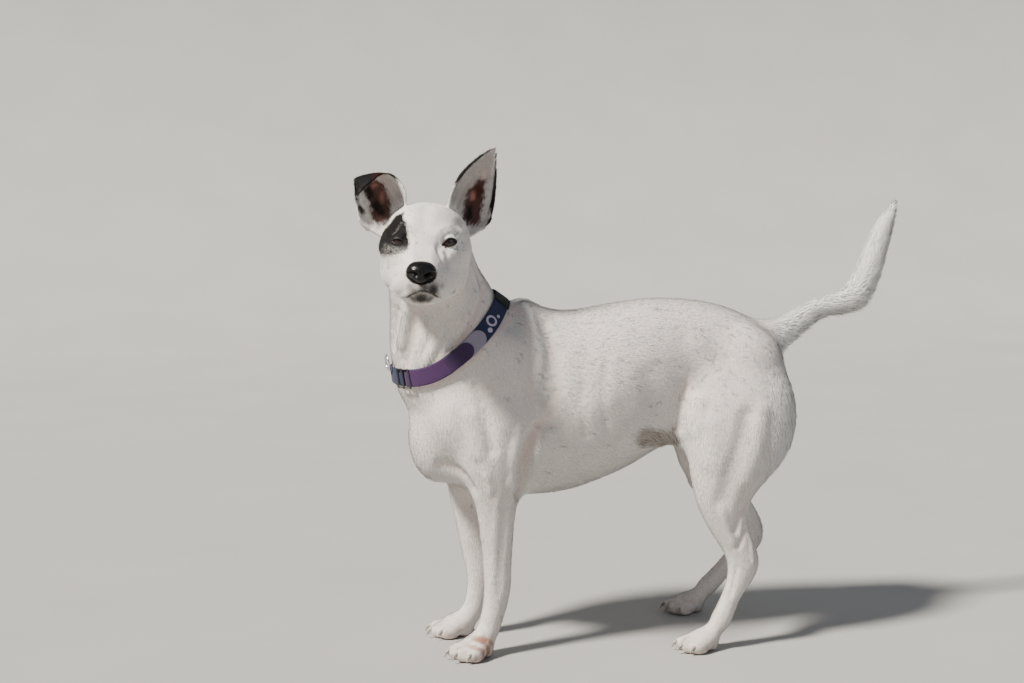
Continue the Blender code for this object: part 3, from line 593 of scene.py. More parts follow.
# The mouth's line, from the right corner of the lips round the front to the left corner.
MOUTH = mm((
    (4, 44, -64), (-15, 39.5, -70), (-35, 32, -73), (-55.4, 23, -71.8), (-68, 18, -68.2),
    (-74.3, 14.5, -64.4), (-80.5, 8, -59), (-85.3, -1, -55.2), (-83.1, -9.6, -56.3),
    (-76.6, -17.1, -60.8), (-61.4, -24.5, -68), (-40, -31.5, -72.2), (-20, -36.5, -71.5), (0, -42.5, -66),
))
# Beside the mouth's line: drop from it, reach, height.
LIPS = mm(((5.5, 8, 1.8), (-7, 9, -2.6), (0, 3, -4.4)))
PHILTRUM = mm(((-96, -0.5, -43), (-88, -0.8, -53.5)))
# The eyeballs as they look out, in the head's frame: centre, way the iris faces, way the opening
# faces, tilt of its outer corner in degrees, then its half lengths towards the inner and outer
# corners and its heights over and under, unrolled from the eyeball.
LIDS = {
    "left": ((-0.001, -0.0338, -0.001), (-0.97, -0.1, 0.2), (-0.98, -0.19, 0.02), 15,
             0.009, 0.0112, 0.0074, 0.0034),
    "right": ((0.0025, 0.0312, -0.0018), (-0.98, 0.06, 0.16), (-0.985, 0.16, 0.0), 3,
              0.0078, 0.0102, 0.0052, 0.003),
}
BALL_SHARE = 0.985
DRAWING_STEPS = 220
LID_THICK = 0.0014
LID_CREASE = 0.0042
# How far from an eyeball's centre its lids reach.
LID_REACH = 0.024
# Ridges and hollows inside the ears, in the head's frame.
EAR_LINES = mm((
    (((76, -52, 30), (76, -68, 75)), 9, -1.6), (((72, -43, 28), (73, -55, 72)), 5, 1.6), (((86, -70, 14),
    (79, -83, 50)), 5, 1.4), (((84, -80, 10), (81, -91, 22)), 5, 1.8), (((78, 50, 28),
    (77, 62, 62)), 9, -1.6), (((74, 40, 26), (73, 50, 62)), 5, 1.6), (((86, 66, 6),
    (80, 85, 36)), 5, 1.6), (((85, 78, 2), (81, 90, 14)), 5, 1.8),
))
# Folds, grooves and muscles of the body, in the dog's frame: path, reach, height.
BODY_LINES = mm((
    (((-251, -74, 497), (-257, -62, 463), (-265, -46, 423)), 18, -5), (((-268, -60, 497),
    (-272, -40, 450)), 15, 3.4), (((-276, -47, 494), (-281, -23, 445)), 13, -2.6), (((-232, -81, 499),
    (-224, -78, 464), (-240, -66, 425)), 12, 2.8), (((-213, -86, 500), (-205, -82, 458)), 9, -2),
    (((-170, -56, 563), (-158, -54, 530), (-165, -69, 504), (-185, -80, 470),
    (-207, -79, 443)), 10, -3.2), (((-180, -62, 555), (-170, -62, 528), (-178, -76, 498),
    (-196, -82, 462)), 9, 2.6), (((-98, -30, 500), (-88, -56, 474), (-82, -78, 440), (-85, -91, 399),
    (-88, -94, 365), (-92, -92, 329)), 18, 3.8), (((-72, -60, 474), (-66, -82, 440), (-70, -94, 390),
    (-78, -95, 345)), 18, -4.2), (((-88, -95, 336), (-98, -92, 308), (-104, -86, 280), (-106, -78, 255),
    (-105, -70, 238)), 14, -12), (((-112, -94, 330), (-120, -94, 290), (-118, -88, 262)), 13, 3.4),
    (((-169, -82, 393), (-158, -93, 345), (-152, -98, 304)), 14, -3.4), (((-140, -92, 400),
    (-128, -98, 340)), 24, 3), (((-180, -80, 350), (-172, -90, 300)), 18, 2.8), (((-217, -50, 275),
    (-196, -70, 258), (-180, -74, 246)), 18, -4), (((-160, -95, 268), (-152, -90, 246)), 9, 2.2),
    (((-124, -90, 255), (-117, -84, 248)), 11, 3.8), (((-142, -90, 236), (-146, -78, 171),
    (-148, -72, 98)), 9, 0.9), (((-131, -86, 230), (-134, -78, 160), (-138, -73, 98)), 9, -0.9),
    (((-121, -82, 225), (-124, -74, 150)), 9, 0.8), (((-52, -80, 440), (-61, -97, 371),
    (-54, -93, 314)), 11, -1), (((-16, -82, 439), (-27, -100, 371), (-19, -97, 321)), 11, -1.1),
    (((14, -82, 430), (4, -98, 371), (12, -94, 325)), 11, -0.9), (((-20, -95, 350),
    (20, -98, 380)), 30, 1.5), (((70, -90, 400), (80, -86, 360)), 30, -2.6), (((128, -82, 380),
    (122, -84, 350), (116, -82, 325)), 18, -5.2), (((150, -78, 440), (175, -82, 400)), 30, 2.6),
    (((148, -94, 370), (140, -94, 320)), 14, 2.6), (((214, -108, 345), (206, -112, 318),
    (194, -113, 280), (184, -112, 245), (178, -110, 222)), 20, -3.4), (((236, -90, 350),
    (228, -100, 300), (214, -103, 255)), 20, 3), (((160, -105, 330), (160, -112, 280)), 26, 2.6),
    (((220, -98, 213), (206, -107, 200), (200, -106, 178)), 9, -3.4), (((178, -108, 215),
    (186, -106, 185), (198, -104, 160)), 10, 1.8), (((216, -100, 178), (205, -101, 155)), 7, -2.6),
    (((223, -94, 165), (226, -92, 130)), 6, 1.6), (((205, -100, 125), (196, -100, 85)), 6, -1.4),
))


def bent(path, spacing=0.002):
    """Close points along a smooth curve through the path."""
    steps = max(2, int(max((Vector(b) - Vector(a)).length for a, b in zip(path, path[1:])) / spacing))
    return through(path, steps)


class Clay:
    """The skin while it is pressed and raised."""

    def __init__(self, piece):
        self.piece = piece
        self.points = coordinates(piece.data)
        self.tree = surface(piece)
        self.edges = read(piece.data.edges, "vertices", 2)

    def landed(self, path):
        found = [self.tree.find_nearest(Vector(point)) for point in bent(path)]
        return np.array([near[0] for near in found])

    def near(self, path, reach):
        """The points within reach of the path, and how far they are from it."""
        low, high = path.min(0) - reach, path.max(0) + reach
        chosen = np.flatnonzero(((self.points > low) & (self.points < high)).all(1))
        away = distance_to(self.points[chosen], path) if len(chosen) else np.zeros(0)
        return chosen[away < reach], away[away < reach]

    def press(self, path, reach, height, place=None):
        """Raises the surface along a path or, with a height below 0, presses it in."""
        if place:
            path = [place @ Vector(point) for point in path]
        path = self.landed(path)
        chosen, away = self.near(path, reach)
        lift = eased(1 - away / reach) * height
        self.points[chosen] += normals(self.piece.data)[chosen] * lift[:, None]
        place_points(self.piece, self.points)

    def smoothed(self, chosen, steps):
        """Evens out the chosen points."""
        inside = np.zeros(len(self.points), bool)
        inside[chosen] = True
        edges = self.edges[inside[self.edges].any(1)]
        for _ in range(steps):
            total = np.zeros_like(self.points)
            count = np.zeros(len(self.points))
            for a, b in ((0, 1), (1, 0)):
                np.add.at(total, edges[:, a], self.points[edges[:, b]])
                np.add.at(count, edges[:, a], 1)
            mean = total[chosen] / np.maximum(count[chosen], 1)[:, None]
            self.points[chosen] += 0.5 * (mean - self.points[chosen])
        place_points(self.piece, self.points)


def raw_skin():
    """The dog and its ears in one closed mesh, finer on the head and paws than on the body."""
    dog = with_toes(whole_dog())
    head = surface(dog)
    ears = ear_shells()
    shells = [surface(ear) for ear in ears]
    skin = joined("skin", [dog, *ears])
    voxels(skin, SKIN_VOXEL)
    relaxed(skin, 4)
    settled(skin)
    points = coordinates(skin.data)
    away = lengths(points - np.array(EYES_AT))
    for i in np.flatnonzero(away < EAR_REACH):
        point = Vector(points[i])
        place, _, _, gap = min((shell.find_nearest(point) for shell in shells), key=lambda near: near[3])
        if gap < 0.004:
            share = min(max((head.find_nearest(point)[3] - 0.002) / 0.006, 0), 1)
            points[i] = point.lerp(place, share)
    place_points(skin, points)
    body = eased((away - 0.16) / 0.03) * eased((points[:, 2] - 0.05) / 0.02)
    group = skin.vertex_groups.new(name="body")
    for share in (0.25, 0.5, 0.75, 1.0):
        group.add(np.flatnonzero(np.abs(body - share) <= 0.125).tolist(), share, "REPLACE")
    relaxed(skin, 1)
    fine = (body < 0.125).mean()
    fewer = skin.modifiers.new("fewer", "DECIMATE")
    fewer.ratio = fine + BODY_TRIANGLES / (2 * len(skin.data.polygons))
    fewer.vertex_group = "body"
    settled(skin)
    skin.vertex_groups.clear()
    return skin


def refined(skin, centres, reach):
    """Splits the faces near the centres in four."""
    bm = bmesh.new()
    bm.from_mesh(skin.data)
    inside = {v for v in bm.verts if any((v.co - centre).length < reach for centre in centres)}
    edges = [edge for edge in bm.edges if edge.verts[0] in inside and edge.verts[1] in inside]
    bmesh.ops.subdivide_edges(bm, edges=edges, cuts=1, use_grid_fill=True)
    bmesh.ops.triangulate(bm, faces=[face for face in bm.faces if len(face.verts) > 4])
    bm.to_mesh(skin.data)
    bm.free()


def lid_frame(side):
    """An eyeball's centre and the outward, sideways and upward directions of its opening."""
    centre, _, out, tilt, *_ = LIDS[side]
    out = Vector(out).normalized()
    aside = Vector((0, 1 if side == "right" else -1, 0))
    aside = (aside - out * aside.dot(out)).normalized()
    up = Vector((0, 0, 1))
    up = (up - out * up.dot(out) - aside * up.dot(aside)).normalized()
    lean = math.radians(tilt)
    across = aside * math.cos(lean) + up * math.sin(lean)
    up = up * math.cos(lean) - aside * math.sin(lean)
    turn = HEAD_PLACE.to_3x3()
    axes = [np.array(turn @ axis) for axis in (out, across, up)]
    return np.array(HEAD_PLACE @ Vector(centre)), axes


def flattened(away, axes):
    """Directions from an eyeball as places on its unrolled surface."""
    out, across, up = axes
    away = away / np.maximum(lengths(away), 1e-9)[:, None]
    turn = np.arccos(np.clip(away @ out, -1, 1))
    places = np.stack([away @ across, away @ up], axis=1)
    flat = np.maximum(lengths(places), 1e-9)
    return places * (turn / flat * EYE_RADIUS)[:, None]


def rolled(places, axes):
    """Unrolled places as directions from the eyeball's centre."""
    out, across, up = axes
    flat = np.maximum(lengths(places), 1e-9)
    turn = flat / EYE_RADIUS
    sideways = places / flat[:, None] * np.sin(turn)[:, None]
    return np.outer(np.cos(turn), out) + np.outer(sideways[:, 0], across) + np.outer(sideways[:, 1], up)


def lid_outline(side, steps=32):
    """Both edges of the opening between the lids, unrolled, from the inner to the outer corner."""
    *_, inner, outer, over, under = LIDS[side]
    shares = (1 - np.cos(np.linspace(0, math.pi, steps + 1))) / 2
    arch = np.sqrt(np.maximum(shares * (1 - shares), 0)) * 2
    run = -inner + shares * (inner + outer)
    dip = -0.0012 * (1 - shares) ** 3
    top = np.stack([run, dip + over * arch**1.25 * (1.15 - 0.3 * shares)], axis=1)
    bottom = np.stack([run, dip - under * arch**1.3 * (0.9 + 0.2 * shares)], axis=1)
    return top, bottom


def lid_loop(side, steps):
    """The whole edge of the opening, once round."""
    top, bottom = lid_outline(side, steps)
    return np.vstack([top, bottom[::-1][1:-1]])


def lid_depth(side, points):
    """How far inside the opening each point lies, negative outside, and its unrolled place."""
    centre, axes = lid_frame(side)
    places = flattened(points - centre, axes)
    return inside_distance(places, lid_loop(side, 32)), places


def inside_distance(places, outline):
    """Distance to a closed outline in its plane, negative outside."""
    best = np.full(len(places), np.inf)
    inside = np.zeros(len(places), bool)
    for a, b in zip(outline, np.roll(outline, -1, axis=0)):
        run = b - a
        share = np.clip((places - a) @ run / max(run @ run, 1e-12), 0, 1)
        best = np.minimum(best, lengths(places - a - share[:, None] * run))
        crosses = (a[1] > places[:, 1]) != (b[1] > places[:, 1])
        rise = b[1] - a[1] if abs(b[1] - a[1]) > 1e-12 else 1e-12
        inside ^= crosses & (places[:, 0] < a[0] + (places[:, 1] - a[1]) / rise * run[0])
    return np.where(inside, best, -best)


def neighbour_sums(a, b, values):
    """The sum of each point's neighbours' values, over the edges from a to b."""
    count = len(values)
    sums = [np.bincount(a, column[b], count) + np.bincount(b, column[a], count) for column in values.T]
    return np.stack(sums, axis=1)


def drawn(clay, near, held, shift):
    """Moves the held points by their shift, and the points between them and the rest evenly along."""
    place = np.full(len(clay.points), -1)
    place[near] = np.arange(len(near))
    edges = place[clay.edges]
    border = np.zeros(len(near), bool)
    border[edges[(edges[:, 0] < 0) & (edges[:, 1] >= 0), 1]] = True
    border[edges[(edges[:, 1] < 0) & (edges[:, 0] >= 0), 0]] = True
    a, b = edges[(edges >= 0).all(1)].T
    count = np.maximum(np.bincount(np.concatenate([a, b]), minlength=len(near)), 1)
    fixed = held | border
    moved = np.where(held[:, None], shift, 0.0)
    for _ in range(DRAWING_STEPS):
        mean = neighbour_sums(a, b, moved) / count[:, None]
        moved = np.where(fixed[:, None], moved, mean)
    clay.points[near] += moved


def open_eyes(clay):
    """Wraps the skin round each eyeball, with an almond opening between its lids."""
    for side in LIDS:
        centre, axes = lid_frame(side)
        outline = centre + rolled(np.vstack(lid_outline(side)), axes) * (EYE_RADIUS + LID_THICK)
        least = EYE_RADIUS + LID_THICK * 0.7
        away = clay.points - centre
        reach = lengths(away)
        near = np.flatnonzero((distance_to(clay.points, outline) < 0.017) & (away @ axes[0] > -0.004))
        depth, places = lid_depth(side, clay.points[near])
        inner = eased((-places[:, 0] - 0.005) / 0.004)
        held = (depth > -0.0022 + 0.0012 * inner) & (reach[near] < EYE_RADIUS + 0.0075)
        drawn(clay, near, held, away[near] * ((EYE_RADIUS + LID_THICK) / reach[near] - 1)[:, None])
        opened = held & (depth > 0)
        clay.smoothed(near[~opened & (distance_to(clay.points[near], outline) < 0.011)], 8)
        away = clay.points[near] - centre
        reach = lengths(away)
        depth, places = lid_depth(side, clay.points[near])
        upper = eased(places[:, 1] / 0.004 + 0.3) * eased((0.01 - np.abs(places[:, 0])) / 0.005)
        wanted = reach - 0.0005 * upper * np.exp(-(((depth + LID_CREASE) / 0.001) ** 2))
        wanted = np.maximum(wanted, least)
        inside = eased((depth - 0.0001) / 0.0011) * (reach < EYE_RADIUS + 0.0045)
        wanted += (EYE_RADIUS - 0.003 - wanted) * inside
        clay.points[near] = centre + away * (wanted / reach)[:, None]
    place_points(clay.piece, clay.points)


def modelled(skin):
    """Gives the skin its face, folds and muscles, and finds where the mouth's line comes to lie."""
    mouth = [HEAD_PLACE @ Vector(point) for point in (*bent(MOUTH, 0.004), *PHILTRUM)]
    eyes = [HEAD_PLACE @ Vector(LIDS[side][0]) for side in LIDS]
    refined(skin, mouth, 0.007)
    refined(skin, eyes, 0.026)
    refined(skin, eyes, 0.0175)
    clay = Clay(skin)
    for path, reach, height, left in FACE_LINES:
        clay.press(path, reach, height, HEAD_PLACE)
        clay.press(mirrored(path), reach, height * left, HEAD_PLACE)
    for line in (FOREHEAD, CHIN, *EAR_LINES):
        clay.press(*line, HEAD_PLACE)
    for path, reach, height in BODY_LINES:
        clay.press(path, reach, height)
        if path[0][2] < 0.45 and path[0][0] > -0.13:
            clay.press(mirrored(path), reach, height)
    line = clay.landed([HEAD_PLACE @ Vector(point) for point in MOUTH])
    on_line = [int(((clay.points - point) ** 2).sum(1).argmin()) for point in line]
    for rise, reach, height in LIPS:
        line = [Vector(point) + Vector((0, 0, rise)) for point in MOUTH]
        clay.press(line if rise == 0 else line[1:-1], reach, height, HEAD_PLACE)
    clay.press(PHILTRUM, 0.0026, -0.0014, HEAD_PLACE)
    open_eyes(clay)
    return clay.points[on_line]

# ------------------------------------------------------------------ eyes, nose and claws
IRIS_RADIUS = 0.007
PUPIL_RADIUS = 0.0027
RIM_RADIUS = 0.0007
RIM_STEPS = 28
# The nose, in the head's frame: the groove, the right nostril's path, and the nose's other lines
# with their reach and height.
NOSE_GROOVE = mm(((-98.5, 0, -26), (-99, 0, -33), (-95, 0, -45)))
NOSTRIL_PATH = mm(((-97.5, 7.6, -32.5), (-95.5, 11.8, -30), (-91, 16, -31.2)))
NOSE_LINES = (
    (NOSTRIL_PATH, 0.0056, -0.0068),
    *mm((
        (((-91, 16, -31.5), (-85, 18.5, -37), (-80, 19, -42)), 2.6, -2.2),
        (((-99, 8.5, -24.5), (-95, 15, -27)), 4.5, 0.8), (((-98, 6, -39.5), (-93, 12, -40)), 4.5, 0.7),
    )),
)
NOSE_TONE = 0.004


def smooth(piece):
    piece.data.polygons.foreach_set("use_smooth", np.ones(len(piece.data.polygons), bool))
    return piece


def painted(piece, colours):
    """Gives the piece's points colours, which its material reads."""
    layer = piece.data.color_attributes.new("paint", "FLOAT_COLOR", "POINT")
    rows = np.ones((len(piece.data.vertices), 4), np.float32)
    rows[:, : colours.shape[1]] = colours
    layer.data.foreach_set("color", rows.ravel())
    return piece


def eyeball(side):
    """A sphere of rings round the way the iris faces, so that its edges are round."""
    centre, facing, *_ = LIDS[side]
    turn = Vector(facing).to_track_quat("Z", "Y").to_matrix().to_4x4()
    place = HEAD_PLACE @ Matrix.Translation(centre) @ turn
    bm = bmesh.new()
    bmesh.ops.create_uvsphere(bm, u_segments=64, v_segments=72, radius=EYE_RADIUS * BALL_SHARE)
    away = np.array([math.hypot(v.co.x, v.co.y) if v.co.z > 0 else 1 for v in bm.verts])
    around = np.array([math.atan2(v.co.y, v.co.x) for v in bm.verts])
    bm.transform(place)
    ball = from_bmesh("eyeball_" + side, bm)
    iris = eased((IRIS_RADIUS - away) / 0.0005)[:, None]
    pupil = eased((PUPIL_RADIUS - away) / 0.0004)[:, None]
    limbus = np.exp(-(((away - IRIS_RADIUS) / 0.0008) ** 2))[:, None]
    rays = 0.75 + 0.25 * np.sin(around * 23 + 2 * np.sin(around * 7))[:, None]
    warm = eased((away - PUPIL_RADIUS) / (IRIS_RADIUS - PUPIL_RADIUS))[:, None]
    white = np.array((0.03, 0.02, 0.016))
    brown = np.array((0.026, 0.011, 0.005)) * rays * (1.3 - 0.6 * warm)
    colour = white + (brown - white) * iris
    colour = colour * (1 - 0.85 * limbus)
    colour = colour * (1 - pupil) + 0.002 * pupil
    return painted(smooth(ball), colour)


def tube(name, points, radii, sides=10, closed=True, flat=0.7, centre=None):
    """A tube along the points; its section is flatter away from a centre it lies round."""
    rings = []
    count = len(points)
    for i, point in enumerate(points):
        after = points[(i + 1) % count] if closed else points[min(i + 1, count - 1)]
        before = points[i - 1] if closed else points[max(i - 1, 0)]
        along = (after - before).normalized()
        out = (point - centre).normalized() if centre is not None else Vector((0, 0, 1))
        side = along.cross(out).normalized()
        out = side.cross(along).normalized()
        rings.append([point + (side * math.cos(turn) + out * (math.sin(turn) * flat)) * radii[i]
                      for turn in circle(sides)])
    return bridged(name, rings, closed)


def lid_rim(side):
    """The dark, bare edge of the lids round one eye."""
    centre, axes = lid_frame(side)
    points, radii = [], []
    for i, way in enumerate(rolled(lid_loop(side, RIM_STEPS), axes)):
        arch = math.sin(math.pi * min(i / RIM_STEPS, 1))
        points.append(Vector(centre + way * (EYE_RADIUS + 0.0006 + 0.0003 * arch)))
        radii.append(RIM_RADIUS * (0.9 + 0.5 * arch))
    return smooth(tube("lid_rim_" + side, points, radii, centre=Vector(centre)))


def made_nose():
    """The nose leather: broad and flat-topped, with comma-shaped nostrils and a groove."""
    nose = lump("nose_leather", NOSE, NOSE_RADII, place=Matrix.Identity(4), fineness=6)
    points = coordinates(nose.data)
    away = (points - np.array(NOSE)) / np.array(NOSE_RADII)
    top = eased(away[:, 2] * 1.4)
    low = eased(-away[:, 2] * 1.3)
    front = eased(-away[:, 0] * 1.5)
    points[:, 2] -= top * 0.0012 * eased(1 - np.abs(away[:, 1]) * 1.2)
    points[:, 1] -= low * (points[:, 1] - NOSE[1]) * 0.34
    wing = np.exp(-(((np.abs(away[:, 1]) - 0.75) / 0.3) ** 2) - ((away[:, 2] + 0.15) / 0.5) ** 2)
    points[:, 0] -= wing * front * 0.001
    place_points(nose, points)
    for side in (1, -1):
        for path, reach, height in NOSE_LINES:
            stroke(nose, [(x, side * y, z) for x, y, z in bent(path, 0.001)], reach, height,
                   Matrix.Identity(4))
    stroke(nose, bent(NOSE_GROOVE, 0.001), 0.0022, -0.0012, Matrix.Identity(4))
    points = coordinates(nose.data)
    points[:, 1] = NOSE[1] + (points[:, 1] - NOSE[1]) * 1.03
    place_points(nose, points)
    dark = np.ones((len(points), 3)) * NOSE_TONE
    # Painted shade in the nostrils' hollows, darker than the leather's own black.
    for side in (1, -1):
        path = bent([(x, side * y, z) for x, y, z in NOSTRIL_PATH], 0.001)
        near = eased(1.2 - distance_to(points, path) / 0.0052)
        dark *= (1 - 0.9 * near)[:, None]
    nose.data.transform(HEAD_PLACE)
    return painted(smooth(nose), dark)


def fine_claw(centre, radii, turn, place):
    """A curved claw whose section narrows to a blunt tip."""
    heading = Matrix.Rotation(math.radians(turn), 4, "Z")
    root = Vector(centre) + heading @ Vector((-radii[0] * 0.8, 0, 0.001))
    points, sizes = [], []
    for k in range(10):
        share = k / 9
        reach = -CLAW_LENGTH * (share * 0.86 * 1.25 - 0.25)
        drop = 0.001 - 0.0085 * max(share * 1.25 - 0.25, 0) ** 2
        points.append(place @ (root + heading @ Vector((reach, 0, drop))))
        sizes.append(CLAW_RADIUS * (0.98 - 0.72 * share**1.4) * (1 if k < 9 else 0.55))
    return tube("claw", points, sizes, 12, False, 1.0)


def claws():
    made = []
    for name in PAWS:
        made += [fine_claw(centre, radii, turn, place_of_paw(name)) for centre, radii, turn in TOES]
    return smooth(joined("claws", made))

# ------------------------------------------------------------------ markings and painted shade of skin and coat
WHITE = np.array((0.8, 0.785, 0.755))
GREY = np.array((0.19, 0.18, 0.18))
BLACK = np.array((0.008, 0.0075, 0.008))
PINK = np.array((0.5, 0.235, 0.195))
MAROON = np.array((0.075, 0.024, 0.019))
INNER_EAR = np.array((0.5, 0.44, 0.42))
SKIN_TONE = np.array((0.7, 0.6, 0.555))
RUST = np.array((0.34, 0.15, 0.09))
PATCH_CENTRE = 0.085
PATCH_SCALE = 0.075
# Corners of the dark patch round the right eye, in the head's frame, seen from the front.
EYE_PATCH = mm((
    (28.1, 26.4, 34.4), (30.8, 37.1, 29.5), (29.9, 46.2, 19.7), (34.6, 54.1, 7.8), (42, 60, -5),
    (36, 61, -19), (20.1, 58.1, -23.8), (1.8, 51.9, -24), (-11.8, 43.4, -21.2), (-23, 35.1, -19.5),
    (-29.1, 27.1, -15), (-30.4, 19.3, -9.5), (-18.9, 17.9, -1), (-13.3, 19.7, 8.9), (-4.9, 20.9, 17.1),
    (6.7, 22.8, 23.6), (13.8, 27.1, 26.6), (26.1, 27.7, 33.2),
))
PALE_STREAK = mm(((7.9, 28.1, 23.2), (-0.3, 34.3, 14.6), (3, 40.8, 5.8)))
# Grey in the white of the face, in the head's frame: place, reach, strength. Grey hair and dark lips, with
# painted shade in the crease over the left eye, on the muzzle's front under the nose and under the chin.
FACE_SHADES = rows_in_mm((
    ((29, -46, 25), 18, 0.24), ((12, -40, 17), 10, 0.14), ((-6, -34, 12.5), 5, 0.3),
    ((0, -42, 11), 4.5, 0.3), ((-16.3, -11.7, 6.6), 2.2, 0.6), ((-64, 2, -11), 8, 0.3),
    ((-83, -15, -52), 19, 1.1), ((-85, -4, -50.5), 15, 0.95), ((-84, 9, -52), 14, 0.7),
    ((-73.5, -26.2, -48), 10, 0.5), ((-77, -1, -65.5), 19, 1.15), ((-73, -13, -69), 16.5, 1),
    ((-73, 11, -69.5), 16.5, 0.95), ((-64, -1, -77), 10, 0.4),
), 2)
# Patches inside the ears, in the head's frame: path, reach, softness, colour. The pink spot high in the left
# ear's maroon cup is a painted highlight.
EAR_SPOTS = rows_in_mm((
    (((86.8, -65, 23), (83.5, -66, 40), (80, -69, 56)), 15, 0.3, MAROON), (((80, -69, 56),
    (75, -75, 72)), 9.5, 0.4, MAROON), (((86, -61, 23), (83.5, -60, 34)), 8.5, 0.8, BLACK),
    (((82.2, -64, 50), (81.2, -64.5, 55.5)), 6.5, 0.8, PINK), (((74, -77, 79),
    (71.3, -80, 89.1)), 6, 0.8, (WHITE + PINK) / 2), (((75.7, -95.5, 54),
    (79.9, -92.5, 38)), 6, 0.5, BLACK), (((73.4, -96, 64), (75.7, -96, 56)), 4, 0.5, BLACK),
    (((86.8, 60, 20), (84, 62.5, 38), (77.5, 69, 58)), 16.5, 0.3, MAROON), (((86.8, 61, 24),
    (84.8, 68, 34)), 11, 0.9, BLACK), (((80, 76, 48), (77, 79, 56)), 9.5, 0.8, BLACK),
    (((79.4, 59, 50.4), (82.4, 60, 40)), 6, 0.9, PINK * 0.7), (((75.5, 72, 60),
    (74.5, 69, 64)), 5, 0.9, PINK * 0.7), (((78.6, 90.7, 31), (84.3, 85.3, 23)), 5.5, 0.6, BLACK),
), 2, 3)
# Larger flecks of the body, in the dog's frame: place, reach along the coat.
FLECKS = mm((
    ((94, -44, 492), 6.5), ((-7, -52, 474), 4), ((79, -77, 458), 3.5), ((-160, -70, 173), 3),
    ((380, -5, 508), 4.5), ((155, -67, 463), 4), ((167, -78, 421), 3.5), ((32, -93, 425), 4),
    ((60, 50, 485), 5.5), ((130, 60, 470), 4), ((-40, 80, 440), 3.5), ((200, 80, 420), 4),
))
# The dark patch under the flank's fold: darker hair, with painted shade under the fold.
FLANK = mm(((70, 0, 312), (95, 0, 307), (114, 0, 308)))
FLANK_HAIR_AND_SHADE = np.array((0.17, 0.135, 0.115))
TICKS = 1300
# How far from an ear's shape its skin lies at most.
EAR_GAP = 0.0045
HEAD_REACH = 0.125
TICK_TONE = np.array((0.13, 0.135, 0.155))


def ripple(points, scale, seed):
    """Smooth waves between -1 and 1 over space, different for each seed."""
    waves = np.random.default_rng(seed).normal(size=(9, 3))
    waves /= lengths(waves)[:, None]
    phases = np.arange(9) * 2.4 + seed
    rates = (1 + 0.35 * np.arange(9) / 9) * 2 * math.pi / scale
    return np.sin(points @ (waves * rates[:, None]).T + phases).mean(1) * 2.0


def in_head(points):
    turn = np.array(HEAD_PLACE.inverted())
    return points @ turn[:3, :3].T + turn[:3, 3]


def unrolled(points):
    """Places on the face as seen while walking round it."""
    around = np.arctan2(points[:, 1], PATCH_CENTRE - points[:, 0])
    return np.stack([around * PATCH_SCALE, points[:, 2]], axis=1)


def ear_places(points):
    """For each point: its ear (0 for none, 1 left, 2 right), how far from root to tip, where
    between the edges, and whether inside the cup."""
    found = np.zeros((len(points), 4))
    near = np.flatnonzero(lengths(points - np.array(EYES_AT)) < EAR_REACH)
    shells = ear_shells()
    for which, shell in enumerate(shells, 1):
        tree = surface(shell)
        spans = len(shell.data.polygons) // EAR_FACES
        for i in near:
            _, _, face, gap = tree.find_nearest(Vector(points[i]))
            if gap > EAR_GAP or face >= spans * EAR_FACES:
                continue
            span, k = divmod(face, EAR_FACES)
            inside = k > EAR_SIDES
            turn = (EAR_FACES - 1 - k if inside else k) / EAR_SIDES
            found[i] = which, (span + 0.5) / spans, math.cos(math.pi * min(turn, 1)), inside
    for shell in shells:
        bpy.data.objects.remove(shell)
    return found


def spots_at(points, centres, sizes):
    """How strongly each point is covered by the nearest spot."""
    tree = KDTree(len(centres))
    for i, centre in enumerate(centres):
        tree.insert(centre, i)
    tree.balance()
    cover = np.zeros(len(points))
    for i, point in enumerate(points):
        _, which, away = tree.find(point)
        if away < sizes[which]:
            cover[i] = 1 - (away / sizes[which]) ** 3
    return cover


def mixed(base, other, share):
    return base + (other - base) * np.clip(share, 0, 1)[:, None]


def mouth_line(q):
    """How far each place of the head's frame is from the mouth's line, and how near its middle."""
    return distance_to(q, in_head(LIP_LINE)), eased((0.03 - np.abs(q[:, 1] + 0.004)) / 0.012)


def face_shade(q, jitter, hairs):
    """How dark the face is at each place of the head's frame."""
    patch = inside_distance(unrolled(q), unrolled(np.array(EYE_PATCH)))
    ragged = 0.0016 + 0.0018 * eased((-q[:, 2] - 0.01) / 0.006)
    front = q[:, 0] < 0.055
    share = eased((patch + jitter * ragged + 0.0004) / 0.0016) * front
    streak = distance_to(q, np.array(PALE_STREAK))
    share *= 1 - 0.11 * eased(1 - streak / 0.0026) * (1 + jitter) * (jitter > -0.3)
    low = eased((-0.004 - q[:, 2]) / 0.008) * eased((0.02 - q[:, 0]) / 0.02)
    share *= 1 - 0.34 * low * (jitter > 0.25)
    # Grey hair and lips, with painted shade over the left eye, under the nose and under the chin.
    for place, reach, strength in FACE_SHADES:
        away = lengths(q - np.array(place))
        share = np.maximum(share, np.minimum(strength * eased(1 - away / reach) * (1 + 0.2 * jitter), 0.94))
    # The mouth's line: dark lips, with painted shade in its crease and along the lips' edges.
    mouth, middle = mouth_line(q)
    share = np.maximum(share, eased(1.5 - mouth / (0.0019 + 0.0024 * middle)) * (0.75 + 0.25 * middle))
    nose = lengths((q - NOSE) / NOSE_RADII)
    edge = 1.08 if hairs else 1.13
    return np.maximum(share, eased((edge - nose + 0.02 * jitter) / 0.06))


def close_to_eyes(points, reach):
    """1 within reach of either eyeball, fading to 0."""
    gaps = [lengths(points - lid_frame(side)[0]) for side in LIDS]
    return eased((EYE_RADIUS + reach - np.minimum(*gaps)) / 0.0025)


